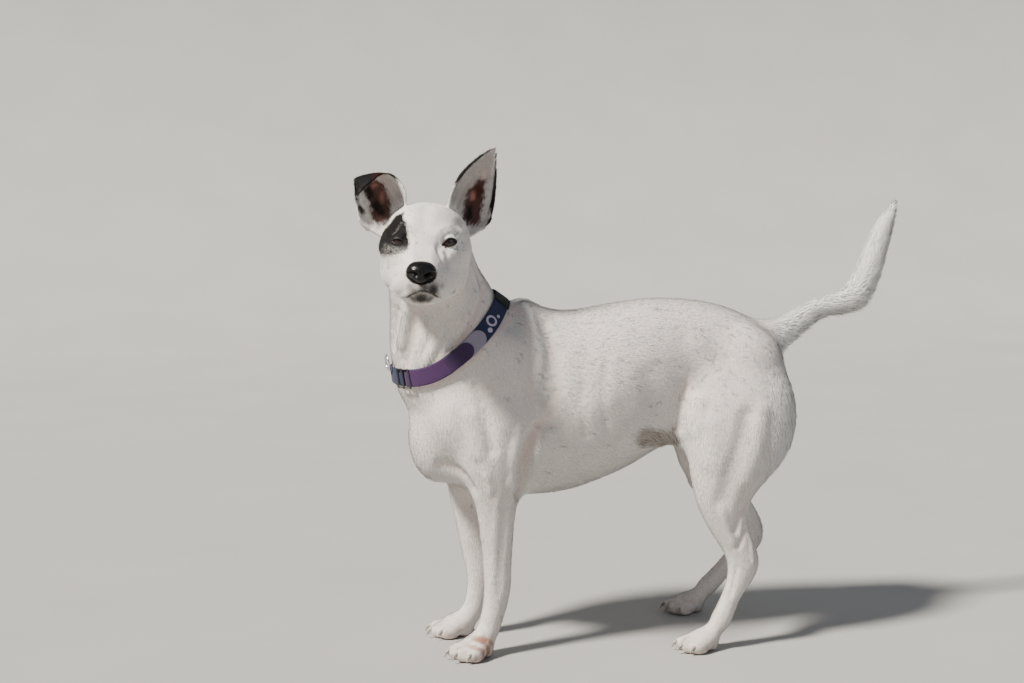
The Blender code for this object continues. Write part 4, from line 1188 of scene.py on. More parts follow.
def around_eyes(points, jitter):
    """The dark line round each eye."""
    share = np.zeros(len(points))
    for side in LIDS:
        near = np.flatnonzero(lengths(points - lid_frame(side)[0]) < LID_REACH)
        if not len(near):
            continue
        depth, places = lid_depth(side, points[near])
        upper = eased(places[:, 1] / 0.003 + 0.5)
        corner = eased((-places[:, 0] - 0.006) / 0.003)
        corner *= eased((0.0034 - np.abs(places[:, 1] + 0.001)) / 0.002)
        width = 0.0012 + 0.0008 * upper + 0.0022 * corner
        share[near] = eased((depth + width + jitter[near] * 0.0005) / 0.0012)
    return share * close_to_eyes(points, 0.0062)


def ear_colours(colour, q, ear, jitter, hairs):
    """Paints the ears: black backs and edges, maroon and pink inside, pale hair at the root."""
    which, along, across, inside = ear.T
    left, right = which == 1, which == 2
    outer = (which > 0) & (inside < 0.5)
    inner = (which > 0) & (inside > 0.5)
    start = np.where(left, 0.3, 0.34) + 0.1 * across * np.where(left, 1, -0.4)
    dark = eased((along - start + 0.05 * jitter) / 0.03) * outer
    rim = (np.abs(across) > 0.965) & (along > 0.36 + 0.04 * jitter) & (left | right)
    flap = right & (along > 0.6) & outer
    edge = eased((np.abs(across) - 0.55 + 0.12 * jitter) / 0.4)
    root = eased((0.2 - along + 0.04 * jitter) / 0.1)
    hair = mixed(np.tile(INNER_EAR, (len(q), 1)), WHITE, 0.15 + 0.85 * np.maximum(edge, root) + 0.3 * jitter)
    for path, reach, soft, tint in EAR_SPOTS:
        away = distance_to(q, np.array(bent(path, 0.002))) / reach
        away += 0.14 * ripple(q, 0.009, 6) + (0.16 if hairs else 0.05) * jitter
        hair = mixed(hair, tint, 0.94 * eased((1 - away) / soft))
    colour = np.where(inner[:, None], hair, colour)
    colour = mixed(colour, BLACK * 1.3, np.maximum(dark, np.maximum(0.96 * rim, 0.96 * flap)))
    return mixed(colour, MAROON * 0.4, 0.95 * flap * eased((0.074 - q[:, 1] + 0.002 * jitter) / 0.004))


def coloured(points, ear, spots, seed, hairs):
    """Colours of the coat's hairs, or of the skin under them, at these places."""
    jitter = np.random.default_rng(seed).uniform(-1, 1, len(points))
    q = in_head(points)
    tone = WHITE if hairs else SKIN_TONE
    colour = np.tile(tone, (len(points), 1))
    shade = 0.05 * ripple(points, 0.11, 3) + 0.03 * ripple(points, 0.03, 4)
    colour *= (1 - 0.45 * np.maximum(shade, 0))[:, None]
    if not hairs:
        colour = mixed(colour, WHITE * 0.96, close_to_eyes(points, 0.009))
    # The flank's patch is darker hair with painted shade under the fold. The band from 0.2 to 0.3 high,
    # where the belly's underside lies, gets a little painted shade.
    low = eased((0.3 - points[:, 2]) / 0.05) * eased((points[:, 2] - 0.2) / 0.04)
    flank = distance_to(points * (1, 0, 1), np.array(FLANK)) + 1.0 * (np.abs(points[:, 1]) < 0.035)
    flank = eased((0.023 - flank) / 0.014 + 0.1 * ripple(points, 0.02, 9))
    flank *= eased((0.127 - points[:, 0] + 0.002 * jitter) / 0.005)
    colour = mixed(colour, FLANK_HAIR_AND_SHADE, flank * (0.72 + 0.26 * jitter) + 0.05 * low)
    tail = eased((points[:, 0] - 0.3) / 0.04)
    under = eased((0.47 + 0.3 * (points[:, 0] - 0.36) - points[:, 2]) / 0.02)
    colour = mixed(colour, GREY * 1.4, 0.36 * tail * under * (jitter > -0.3))
    tone = 0.26 if hairs else 0.6
    pinkish = np.exp(-(((points[:, 0] + 0.02) / 0.1) ** 2) - ((points[:, 2] - 0.36) / 0.06) ** 2)
    colour = mixed(colour, SKIN_TONE * 1.08, tone * pinkish)
    near_foot = np.exp(-(((points[:, 0] + 0.162) / 0.022) ** 2) - ((points[:, 1] + 0.08) / 0.024) ** 2)
    feet = eased((0.03 + 0.012 * near_foot - points[:, 2]) / 0.012) * (0.22 + 0.7 * near_foot)
    colour = mixed(colour, RUST, feet * eased(ripple(points, 0.014, 8) + 0.3 + 0.5 * near_foot))
    if len(spots[0]):
        colour = mixed(colour, TICK_TONE, spots_at(points, *spots) * (0.66 if hairs else 0.7))
    head = np.flatnonzero(lengths(q) < HEAD_REACH)
    share = face_shade(q[head], jitter[head], hairs)
    colour[head] = mixed(colour[head], BLACK, share)
    colour = ear_colours(colour, q, ear, jitter, hairs)
    colour = mixed(colour, BLACK, around_eyes(points, jitter))
    if hairs:
        colour *= (1 + 0.04 * np.random.default_rng(seed + 1).uniform(-1, 1, len(points)))[:, None]
    return np.clip(colour, 0.004, 0.84)


# ------------------------------------------------------------------ the coat
# Which way the coat lies. In the head's frame, for the right side: place, direction.
HEAD_LIE = rows_in_mm((
    (-75, 0, -14, 1, 0, 0.35), (-35, 0, -4, 1, 0, 0.5), (-5, 0, 22, 1, 0.1, 0.8),
    (40, 0, 46, 1, 0, 0.05), (85, 0, 36, 1, 0, -0.6), (-62, 26, -35, 1, 0.4, -0.35),
    (-30, 36, -35, 1, 0.4, -0.4), (0, 50, -40, 1, 0.5, -0.5), (30, 62, -30, 1, 0, -0.7),
    (20, 50, 22, 0.8, 0.8, 0.3), (8, 34, 18, 0.6, 0.7, 0.7), (-18, 20, 4, 0.9, 0.1, 0.7),
    (-66, 10, -76, 1, 0.3, -0.4), (-30, 20, -84, 1, 0.2, -0.1), (10, 0, -90, 1, 0, -0.3),
    (20, 55, -66, 1, 0.1, -0.6), (100, 30, 0, 0.4, 0, -1), (90, 50, -30, 0.5, 0, -1),
    (-86, 6, -48, 0.3, 1, -0.5), (-50, 34, -60, 1, 0.2, -0.5),
), 3, 4, 5)
# In the head's frame, for either ear as it stands.
EAR_LIE = rows_in_mm((
    (66, -45, 20, 0, -0.35, 1), (68, -62, 50, -0.1, -0.45, 1), (66, -80, 85, -0.1, -0.5, 1),
    (61, -90, 115, 0, -0.4, 1), (84, -78, 16, 0, -0.5, 1), (52, -40, 60, 0, -0.3, 1),
    (66, 40, 20, 0, 0.4, 1), (68, 56, 45, -0.1, 0.45, 1), (66, 70, 68, -0.3, 0.5, 1),
    (56, 76, 78, -1, 0.4, 0), (42, 80, 73, -1, 0.5, -0.6), (26, 88, 58, -0.8, 0.4, -1),
    (84, 76, 8, 0, 0.5, 1), (52, 32, 52, 0, 0.3, 1),
), 3, 4, 5)
# In the dog's frame, for the right side and mirrored for the left.
BODY_LIE = rows_in_mm((
    (-165, 20, 560, 0.6, 0.1, -1), (-200, 60, 540, 0.5, 0.1, -1), (-270, 40, 500, 0.05, 0, -1),
    (-230, 75, 480, 0.25, 0.2, -1), (-130, 20, 510, 0.8, 0.1, -0.8), (-160, 75, 440, 0.5, 0.2, -1),
    (-262, 20, 380, 0, 0.1, -1), (-230, 60, 330, 0.35, 0.3, -1), (-180, 85, 370, 0.35, 0.2, -1),
    (-135, 98, 380, 0.4, 0.1, -1), (-100, 50, 495, 0.7, 0.3, -0.5), (-85, 92, 390, 0.55, 0.1, -1),
    (-60, 20, 500, 1, 0.1, -0.1), (20, 20, 497, 1, 0.1, -0.05), (120, 20, 505, 1, 0.05, -0.05),
    (210, 20, 490, 1, 0.1, -0.3), (-40, 85, 440, 1, 0.1, -0.45), (-30, 102, 370, 1, 0, -0.55),
    (40, 100, 380, 1, 0, -0.4), (90, 88, 420, 1, 0, -0.3), (-60, 85, 270, 1, -0.2, -0.4),
    (10, 85, 285, 1, -0.2, -0.3), (-20, 30, 228, 1, -0.1, 0), (80, 50, 270, 1, -0.1, 0.1),
    (80, 85, 320, 1, -0.1, -0.5), (125, 80, 340, 0.4, 0, -1), (160, 80, 440, 0.9, 0.1, -0.7),
    (200, 90, 390, 0.5, 0.1, -1), (160, 105, 320, 0.4, 0, -1), (220, 105, 310, 0.25, 0, -1),
    (280, 60, 370, 0.1, 0.2, -1), (262, 30, 430, 0.2, 0.4, -1), (150, 60, 300, 0.2, -0.3, -1),
    (240, 70, 270, -0.15, 0, -1),
), 3, 4, 5)
LEG_LIE = rows_in_mm((
    (-150, 62, 230, 0.1, 0, -1), (-140, 58, 130, 0.1, 0, -1), (-135, 54, 260, 0.3, 0, -1),
    (-150, 56, 60, -0.3, 0, -1), (-180, 58, 26, -1, 0, -0.4), (-200, 60, 14, -1, 0, -0.5),
    (190, 85, 240, 0.1, 0, -1), (210, 88, 170, 0.4, 0, -1), (220, 90, 130, -0.2, 0, -1),
    (195, 88, 70, -0.35, 0, -1), (150, 88, 22, -1, 0, -0.4), (260, 112, 170, 0.7, 0, -1),
    (290, 118, 120, -0.2, 0, -1), (240, 120, 60, -0.8, 0, -1), (190, 120, 20, -1, 0, -0.4),
), 3, 4, 5)
TAIL_LIE = rows_in_mm((
    (275, 0, 450, 1, 0, 0.3), (330, 0, 475, 1, 0, 0.55), (390, 0, 495, 1, 0, 0.25),
    (425, 0, 520, 0.7, 0, 1), (445, 0, 570, 0.35, 0, 1), (468, 0, 630, 0.45, 0, 1),
), 3, 4, 5)
# Kinds of tufts: length, width, how far the tip lifts, area of skin to each, spread of directions,
# and the coat's depth.
KINDS = {
    "muzzle": (0.0036, 0.0007, 0.17, 0.75e-6, 0.16, 0.0006),
    "face": (0.0052, 0.00085, 0.15, 1.15e-6, 0.14, 0.0009),
    "ear": (0.0046, 0.00085, 0.16, 1.50e-6, 0.18, 0.0006),
    "ear_inside": (0.0078, 0.0005, 0.24, 1.70e-6, 0.18, 0.0002),
    "neck": (0.0085, 0.00115, 0.12, 2.40e-6, 0.1, 0.0015),
    "body": (0.0085, 0.0012, 0.13, 2.65e-6, 0.12, 0.0015),
    "leg": (0.007, 0.00105, 0.16, 2.50e-6, 0.14, 0.0012),
    "paw": (0.0046, 0.00085, 0.2, 1.60e-6, 0.2, 0.0008),
    "tail": (0.015, 0.00125, 0.22, 2.20e-6, 0.2, 0.0035),
}
KIND_NAMES = list(KINDS)
TUFTS = 300000
LOWEST = 0.0003
MOST_IN_PIECE = 48000


class Pelt:
    """The skin's points with what grows there: ear, kind of coat, its sizes and its lie."""

    def __init__(self, skin):
        self.points = coordinates(skin.data)
        self.normals = normals(skin.data)
        skin.data.calc_loop_triangles()
        self.faces = read(skin.data.loop_triangles, "vertices", 3)
        self.loops = read(skin.data.loop_triangles, "loops", 3)
        self.edges = read(skin.data.edges, "vertices", 2)
        self.ear = ear_places(self.points)
        self.kinds = self.kinds_of()
        table = np.array([KINDS[name] for name in KIND_NAMES])[self.kinds]
        longer = self.longer()
        table[:, 0] *= longer
        table[:, 2] *= 0.5 + 0.5 * longer
        table[:, 5] *= 0.6 + 0.4 * longer
        self.sizes = self.even(table, 14)
        self.bare = self.bareness()
        self.sizes[:, 5] *= 1 - self.bare
        for side in LIDS:
            gap = lengths(self.points - lid_frame(side)[0]) - EYE_RADIUS
            near = eased((gap - 0.003) / 0.007)
            self.sizes[:, 5] *= 0.25 + 0.75 * near
            self.sizes[:, [0, 1, 3]] *= (0.45, 0.75, 0.55) + np.outer(near, (0.55, 0.25, 0.45))
        self.lie = self.lies()

    def even(self, values, steps):
        count = np.bincount(self.edges.ravel(), minlength=len(self.points))[:, None]
        a, b = self.edges.T
        for _ in range(steps):
            values = 0.4 * values + 0.6 * neighbour_sums(a, b, values) / np.maximum(count, 1)
        return values

    def kinds_of(self):
        x, _, z = self.points.T
        q = in_head(self.points)
        head = (np.abs(q[:, 0]) < 0.105) & (np.abs(q[:, 1]) < 0.075) & (q[:, 2] > -0.1) & (q[:, 2] < 0.06)
        ear, inside = self.ear[:, 0] > 0, self.ear[:, 3] > 0.5
        kinds = np.full(len(x), KIND_NAMES.index("body"))
        for name, chosen in (
            ("leg", z < 0.235),
            ("paw", z < 0.045),
            ("neck", (z > 0.4) & (x < -0.115)),
            ("tail", (x > 0.285) & (z > 0.42)),
            ("face", head),
            ("muzzle", head & (q[:, 0] < -0.022)),
            ("ear", ear),
            ("ear_inside", ear & inside),
        ):
            kinds[chosen] = KIND_NAMES.index(name)
        return kinds

    def longer(self):
        """Where the coat is longer: tail's underside, backs of the thighs, flank and belly."""
        x, _, z = self.points.T
        tail = eased((x - 0.29) / 0.04) * eased((0.48 + 0.3 * (x - 0.36) - z) / 0.02)
        thigh = eased((x - 0.225) / 0.03) * eased((0.44 - z) / 0.03)
        thigh *= eased((z - 0.23) / 0.04) * (x < 0.33)
        flank = np.exp(-(((x - 0.095) / 0.05) ** 2) - ((z - 0.318) / 0.022) ** 2)
        belly = eased((-self.normals[:, 2] - 0.3) / 0.4) * eased((z - 0.2) / 0.02)
        belly *= eased((0.34 - z) / 0.03)
        return 1 + 0.55 * tail + 0.6 * thigh + 0.55 * flank + 0.4 * belly

    def bareness(self):
        """1 where no coat grows: eyes, nose, mouth's line and soles."""
        q = in_head(self.points)
        nose = lengths((q - NOSE) / NOSE_RADII)
        bare = eased((1.05 - nose) / 0.05)
        mouth, middle = mouth_line(q)
        bare = np.maximum(bare, eased(1.5 - mouth / (0.0011 + 0.0014 * middle)))
        sole = eased((0.007 - self.points[:, 2]) / 0.003) * eased(-self.normals[:, 2] * 2 - 0.3)
        bare = np.maximum(bare, sole)
        for side in LIDS:
            near = np.flatnonzero(lengths(self.points - lid_frame(side)[0]) < LID_REACH)
            depth, _ = lid_depth(side, self.points[near])
            lid = eased((depth + 0.0016) / 0.001) * close_to_eyes(self.points[near], 0.0062)
            bare[near] = np.maximum(bare[near], lid)
        return bare

    def lies(self):
        """The direction of the coat at each point, along the surface."""
        turn = np.array(HEAD_PLACE.to_3x3())
        place = np.array(HEAD_PLACE.translation)

        def posts(rows, both, head):
            found = np.array(rows)
            if both:
                aside = found[np.abs(found[:, 1]) > 1e-6] * (1, -1, 1, 1, -1, 1)
                found = np.vstack([found, aside])
            at, way = found[:, :3], unit(found[:, 3:])
            return (at @ turn.T + place, way @ turn.T) if head else (at, way)

        ears = posts(EAR_LIE, False, True)
        parts = (posts(HEAD_LIE, True, True), posts(BODY_LIE, True, False), posts(LEG_LIE, True, False),
                 posts(TAIL_LIE, False, False))
        rest = [np.vstack(rows) for rows in zip(*parts)]
        lie = np.zeros_like(self.points)
        for chosen, (at, way) in ((self.ear[:, 0] > 0, ears), (self.ear[:, 0] == 0, rest)):
            for rows in np.array_split(np.flatnonzero(chosen), 12):
                gaps = ((self.points[rows][:, None] - at) ** 2).sum(2)
                lie[rows] = (1 / (gaps + 1e-5) ** 2.2) @ way
        for side in LIDS:
            centre, axes = lid_frame(side)
            away = self.points - centre
            gap = lengths(away)
            share = eased((0.021 - gap) / 0.01)[:, None]
            flat = away - np.outer(away @ axes[0], axes[0]) + 0.004 * axes[2]
            lie = unit(lie) * (1 - 0.8 * share) + unit(flat) * 0.8 * share
        lie -= (lie * self.normals).sum(1)[:, None] * self.normals
        return unit(self.even(unit(lie), 3))


def sunk(skin, pelt):
    """Draws the skin in by the coat's depth."""
    points = pelt.points - pelt.normals * pelt.sizes[:, 5:6]
    points[:, 2] = np.maximum(points[:, 2], 0)
    place_points(skin, points)
    return points


def roots(pelt, skin_points, seed):
    """Random places on the skin where tufts grow, as faces and the shares of their corners."""
    rng = np.random.default_rng(seed)
    a, b, c = (skin_points[pelt.faces[:, k]] for k in range(3))
    area = lengths(np.cross(b - a, c - a)) / 2
    wanted = area / pelt.sizes[:, 3][pelt.faces].mean(1)
    wanted *= pelt.bare[pelt.faces].max(1) < 0.5
    wanted *= TUFTS / wanted.sum()
    count = np.floor(wanted + rng.random(len(wanted))).astype(int)
    face = np.repeat(np.arange(len(count)), count)
    u, v = rng.random((2, len(face)))
    over = u + v > 1
    u[over], v[over] = 1 - u[over], 1 - v[over]
    share = np.stack([1 - u - v, u, v], axis=1)
    return face, share, rng


def spread(values, faces, share):
    """Values at the points, read at places on the faces."""
    return (values[faces] * share[:, :, None]).sum(1)


def tuft_mesh(name, at, way, normal, sizes, colours, patch, bend):
    """Closed, tapering tufts as one mesh: with a bend they have a middle section."""
    count = len(at)
    length, width, lift = sizes.T
    side = unit(np.cross(normal, way))
    half = side * (width / 2)[:, None]
    under = -normal * (width * 0.45)[:, None]
    root = at - normal * (length * 0.04)[:, None]
    tip = root + way * (length * np.sqrt(1 - lift**2))[:, None] + normal * (length * lift)[:, None]
    lean = side * 0.35
    # Each tuft's corners carry painted shade at its root and underside, and painted light at its tip.
    if bend is None:
        rows = [root + half, root - half, tip, root + under]
        faces = np.array(((0, 1, 2), (1, 0, 3), (2, 1, 3), (0, 2, 3)))
        leans = [lean, -lean, way * 0.1, -normal * 0.3]
        root_shade_tip_light = [0.92, 0.92, 1.03, 0.82]
        spots = mm(((1.5, -1.5), (-1.5, -1.5), (0, 1.5), (0, -1.2)))
    else:
        middle = root + (tip - root) * 0.55 + normal * (length * 0.05)[:, None]
        tip = tip + bend * length[:, None]
        rows = [root + half, root - half, root + under, middle + half * 0.75, middle - half * 0.75,
                middle + under * 0.75, tip]
        faces = np.array(((0, 2, 1), (0, 1, 4), (0, 4, 3), (1, 2, 5), (1, 5, 4), (2, 0, 3), (2, 3, 5),
                          (3, 4, 6), (4, 5, 6), (5, 3, 6)))
        leans = [lean, -lean, -normal * 0.3] * 2 + [way * 0.1]
        root_shade_tip_light = [0.9, 0.9, 0.8, 0.97, 0.97, 0.85, 1.03]
        spots = mm(((1.5, -1.5), (-1.5, -1.5), (0, -1.2), (1, 0), (-1, 0), (0, 0.3), (0, 1.5)))
    sides = len(rows)
    points = np.stack(rows, axis=1).reshape(-1, 3)
    points[:, 2] = np.maximum(points[:, 2], LOWEST)
    corners = (faces[None] + np.arange(count)[:, None, None] * sides).reshape(-1)
    mesh = bpy.data.meshes.new(name)
    mesh.vertices.add(len(points))
    mesh.vertices.foreach_set("co", points.astype(np.float32).ravel())
    mesh.loops.add(len(corners))
    mesh.loops.foreach_set("vertex_index", corners.astype(np.int32))
    mesh.polygons.add(len(corners) // 3)
    mesh.polygons.foreach_set("loop_start", np.arange(0, len(corners), 3, dtype=np.int32))
    mesh.polygons.foreach_set("use_smooth", np.ones(len(corners) // 3, bool))
    mesh.update()
    layer = mesh.uv_layers.new(name="OFBake")
    places = (patch[:, None] + np.array(spots)[None]).reshape(-1, 2)
    layer.data.foreach_set("uv", places[corners].astype(np.float32).ravel())
    paint = mesh.color_attributes.new("paint", "FLOAT_COLOR", "POINT")
    shades = np.ones((count, sides, 4), np.float32)
    shades[:, :, :3] = np.clip(colours[:, None] * np.array(root_shade_tip_light)[None, :, None], 0.003, 0.86)
    paint.data.foreach_set("color", shades.ravel())
    smooth_normals = unit((normal[:, None] + np.stack(leans, axis=1)).reshape(-1, 3))
    mesh.normals_split_custom_set_from_vertices(smooth_normals.tolist())
    return linked(name, mesh)


def grow_coat(skin, pelt, spots, collar):
    """All pieces of the coat."""
    skin_points = coordinates(skin.data)
    face, share, rng = roots(pelt, skin_points, 11)
    faces = pelt.faces[face]
    at = spread(skin_points, faces, share)
    normal = unit(spread(pelt.normals, faces, share))
    way = spread(pelt.lie, faces, share)
    sizes = spread(pelt.sizes, faces, share)
    nearest = faces[np.arange(len(faces)), share.argmax(1)]
    ear = pelt.ear[nearest]
    kind = pelt.kinds[nearest]
    side = unit(np.cross(normal, way))
    turn = rng.normal(0, 1, len(at)) * sizes[:, 4] + 0.1 * ripple(at, 0.03, 21)
    way = unit(way * np.cos(turn)[:, None] + side * np.sin(turn)[:, None])
    way = unit(way - (way * normal).sum(1)[:, None] * normal)
    length = sizes[:, 0] * rng.uniform(0.65, 1.15, len(at))
    width = sizes[:, 1] * rng.uniform(0.75, 1.25, len(at))
    lift = np.clip(sizes[:, 2] * rng.uniform(0.5, 1.5, len(at)), 0.02, 0.6)
    away = distance_to(at, collar)
    lift *= 0.35 + 0.65 * eased((away - 0.014) / 0.006)
    colours = coloured(at, ear, spots, 31, True)
    uv = read(skin.data.uv_layers["OFBake"].data, "uv", 2, np.float32).astype(float)
    patch = spread(uv, pelt.loops[face], share)
    packed = np.column_stack([length, width, lift])
    names = region_names(at, kind)
    long_hair = (sizes[:, 0] > 0.0125) | (KIND_NAMES.index("tail") == kind)
    made = []
    for name in sorted(set(names)):
        rows = np.flatnonzero(names == name)
        for bent_ones in (False, True):
            chosen = rows[long_hair[rows] == bent_ones]
            most = MOST_IN_PIECE * 4 // 10 if bent_ones else MOST_IN_PIECE
            for number, part in enumerate(np.array_split(chosen, max(1, -(-len(chosen) // most)))):
                if not len(part):
                    continue
                bend = None
                if bent_ones:
                    bend = rng.normal(0, 0.05, (len(part), 3)) + np.array((0, 0, -0.1))
                label = f"coat_{name}{'_long' if bent_ones else ''}_{number + 1}"
                made.append(tuft_mesh(label, at[part], way[part], normal[part], packed[part],
                                      colours[part], patch[part], bend))
    return made


def region_names(at, kind):
    """The piece of the coat that each tuft belongs to."""
    _, y, z = at.T
    names = np.where(y < 0, "left_side", "right_side").astype("<U16")
    names[z < 0.25] = "legs"
    for label, kinds in (("neck", ("neck",)), ("tail", ("tail",)), ("face", ("face", "muzzle")),
                         ("ears", ("ear", "ear_inside")), ("paws", ("paw",))):
        names[np.isin(kind, [KIND_NAMES.index(one) for one in kinds])] = label
    return names

# ------------------------------------------------------------------ the collar's finer pieces
FINE_TURNS = 5
STITCH_RADII = (0.00115, 0.00035, 0.0003)
STITCH_INSET = 0.0022
# Frames from one stitch to the next.
STITCH_PITCH = 2
SLIDE_BAR = 0.0032
# The webbing's section from edge to edge: across in half widths, and up in its thickness.
EDGE = ((1, 0.1), (0.985, 0.55), (0.94, 0.9), (0.86, 1), (0.45, 1))
SECTION = [(-across, up) for across, up in EDGE] + [(0, 1)] + [*EDGE[::-1], (0.86, 0), (0, 0), (-0.86, 0)]
END_STEPS = 8


def finer(frames):
    """More frames between the given ones, along smooth curves."""
    rows = np.array([[*point, *along, *up, *out] for point, along, up, out in frames])
    rows = np.vstack([rows[-2:], rows, rows[:3]])
    made = []
    for row in through(rows, FINE_TURNS)[2 * FINE_TURNS : (len(frames) + 2) * FINE_TURNS]:
        point, along, up, out = (Vector(row[k : k + 3]) for k in (0, 3, 6, 9))
        made.append((point, along.normalized(), up.normalized(), out.normalized()))
    return made


def webbing(name, frames, width, layer, closed=False, tip=False):
    """Webbing with eased edges, whose start can be a rounded tip, and a UV map in metres along it."""
    low, high = layer
    stations = [(frame, width, 0.0) for frame in frames]
    if tip:
        turns = [math.radians(86 * k / END_STEPS) for k in range(END_STEPS, 0, -1)]
        stations[:0] = [(frames[0], width * math.cos(turn), -width / 2 * math.sin(turn)) for turn in turns]
    bm = bmesh.new()
    rows, runs, run, before = [], [], 0.0, None
    for (point, along, up, out), wide, shift in stations:
        point = point + along * shift
        run += (point - before).length if before is not None else 0
        before = point
        runs.append(run)
        rows.append([bm.verts.new(point + up * (across * wide / 2) + out * (low + (high - low) * height))
                     for across, height in SECTION])
    weave = bm.loops.layers.uv.new("weave")
    count = len(rows)
    for i in range(count if closed else count - 1):
        j = (i + 1) % count
        run_j = runs[j] if j else runs[i] + (rows[0][0].co - rows[-1][0].co).length
        for k in range(len(SECTION)):
            m = (k + 1) % len(SECTION)
            face = bm.faces.new((rows[i][k], rows[i][m], rows[j][m], rows[j][k]))
            spots = ((runs[i], i, k), (runs[i], i, m), (run_j, j, m), (run_j, j, k))
            for corner, (place, row, at) in zip(face.loops, spots):
                corner[weave].uv = (place, SECTION[at][0] * stations[row][1] / 2)
    if not closed:
        bm.faces.new(rows[0][::-1])
        bm.faces.new(rows[-1])
    bmesh.ops.recalc_face_normals(bm, faces=bm.faces)
    return smooth(from_bmesh(name, bm))


def part_of(frames, span):
    first, last = (round(angle * len(frames) / 360) for angle in span)
    return frames[first : last + 1]


def stitches(name, frames, span, width, height):
    """Two rows of raised stitches along the edges of a length of webbing."""
    made = []
    for point, along, up, out in part_of(frames, span)[1:-1:STITCH_PITCH]:
        for edge in (-1, 1):
            place = frame_matrix((point, along, up, out), edge * (width / 2 - STITCH_INSET), height)
            made.append(lump("stitch", (0, 0, 0), STITCH_RADII, place=place, fineness=2))
    return smooth(joined(name, made))


def slide_frame(name, frames, span, width, layer):
    """The flat plastic slide: a rounded frame with one opening across it."""
    low, high = layer
    chosen = part_of(frames, span)
    middle = (low + high) / 2
    flat = 0.42 * (high - low) / SLIDE_BAR * 2.2
    bars = []
    for side in (-1, 1):
        rise = side * (width / 2 - SLIDE_BAR / 2)
        points = [point + up * rise + out * middle for point, _, up, out in chosen]
        bars.append(tube("bar", points, [SLIDE_BAR / 2] * len(points), 12, False, flat))
    for at in (0, 0.5, 1):
        point, _, up, out = chosen[int(round(at * (len(chosen) - 1)))]
        points = [point + up * (width / 2 * share) + out * middle for share in np.linspace(-0.98, 0.98, 9)]
        bars.append(tube("bar", points, [SLIDE_BAR / 2] * 9, 12, False, flat, centre=point - out * 0.06))
    return smooth(joined(name, bars))


def d_ring(name, frame):
    """The ring of round wire, past the edge of the webbing that holds it."""
    place = frame_matrix(frame, WEBBING / 2 + RING_RADIUS * 0.6, 0.0065)
    return smooth(torus(name, place, RING_RADIUS, RING_WIRE * 1.05, 72, 14))


def whole_collar(frames):
    """Every piece of the collar with its slot and the solid it stands for."""
    fine = finer(frames)
    made = [(webbing("band_webbing", fine, WEBBING, BAND_LAYER, True), "navy_webbing", "collar_band")]
    for name, span, width, layer, slot, tip in (
        ("keeper", KEEPER, WEBBING * 1.08, LOW_LAYER, "black_webbing", False),
        ("sleeve", SLEEVE, WEBBING, LOW_LAYER, "mauve_webbing", True),
        ("strap", STRAP, WEBBING, LOW_LAYER, "purple_webbing", False),
        ("tab", TAB, WEBBING * 0.96, TOP_LAYER, "dark_purple_webbing", True),
    ):
        piece = webbing(name + "_webbing", part_of(fine, span), width, layer, tip=tip)
        made.append((piece, slot, "collar_" + name))
    slide = slide_frame("slide_bars", fine, SLIDE, WEBBING * 1.2, TOP_LAYER)
    ring = d_ring("ring_wire", frames[round(RING * COLLAR_STEPS / 360)])
    made += [(slide, "slide_plastic", "collar_slide"), (ring, "ring_steel", "collar_ring")]
    for name, span, width, layer, slot in (
        ("tab", TAB, WEBBING * 0.96, TOP_LAYER, "dark_purple_webbing"),
        ("strap", STRAP, WEBBING, LOW_LAYER, "purple_webbing"),
        ("band", (24, 60), WEBBING, BAND_LAYER, "navy_webbing"),
    ):
        made.append((stitches("stitches_" + name, fine, span, width, layer[1]), slot, None))
    return made

# ------------------------------------------------------------------ materials
def shader_of(made):
    return made.node_tree.nodes["Principled BSDF"]


def material(name, **values):
    """A new material, with these values at its shader's sockets."""
    made = bpy.data.materials.new(name)
    made.use_nodes = True
    for socket, value in values.items():
        shader_of(made).inputs[socket.replace("_", " ")].default_value = value
    return made


def node(made, kind, **values):
    found = made.node_tree.nodes.new(kind)
    for name, value in values.items():
        if hasattr(found, name):
            setattr(found, name, value)
        else:
            found.inputs[name.replace("_", " ")].default_value = value
    return found


def wire(made, source, target):
    made.node_tree.links.new(source, target)


def coloured_by(made, colour):
    wire(made, colour, shader_of(made).inputs["Base Color"])


def noise_node(made, scale, detail):
    """Noise over the object's own space, in cycles per metre."""
    place = node(made, "ShaderNodeTexCoord")
    found = node(made, "ShaderNodeTexNoise", Scale=scale, Detail=detail, Roughness=0.5)
    wire(made, place.outputs["Object"], found.inputs["Vector"])
    return found.outputs["Fac"]


def bump(made, height, distance, strength, before=None):
    found = node(made, "ShaderNodeBump", Strength=strength, Distance=distance)
    wire(made, height, found.inputs["Height"])
    if before:
        wire(made, before, found.inputs["Normal"])
    wire(made, found.outputs["Normal"], shader_of(made).inputs["Normal"])
    return found.outputs["Normal"]


def ramp(made, source, stops):
    found = node(made, "ShaderNodeValToRGB")
    while len(found.color_ramp.elements) < len(stops):
        found.color_ramp.elements.new(0.5)
    for element, (place, colour) in zip(found.color_ramp.elements, stops):
        element.position = place
        element.color = (*colour, 1)
    wire(made, source, found.inputs["Fac"])
    return found.outputs["Color"]


def blend(made, kind, share, a, b):
    found = node(made, "ShaderNodeMix", data_type="RGBA", blend_type=kind)
    for place, value in ((0, share), (6, a), (7, b)):
        if isinstance(value, (int, float)):
            found.inputs[place].default_value = value
        elif isinstance(value, tuple):
            found.inputs[place].default_value = (*value, 1)
        else:
            wire(made, value, found.inputs[place])
    return found.outputs[2]


def painted_material(name, scale, detail, dark, light, near=0.3, far=0.7, **values):
    """A finish in the piece's own paint, with fine changes of tone."""
    made = material(name, **values)
    paint = node(made, "ShaderNodeAttribute", attribute_name="paint")
    fine = ramp(made, noise_node(made, scale, detail), ((near, dark), (far, light)))
    coloured_by(made, blend(made, "MULTIPLY", 1.0, paint.outputs["Color"], fine))
    return made, paint


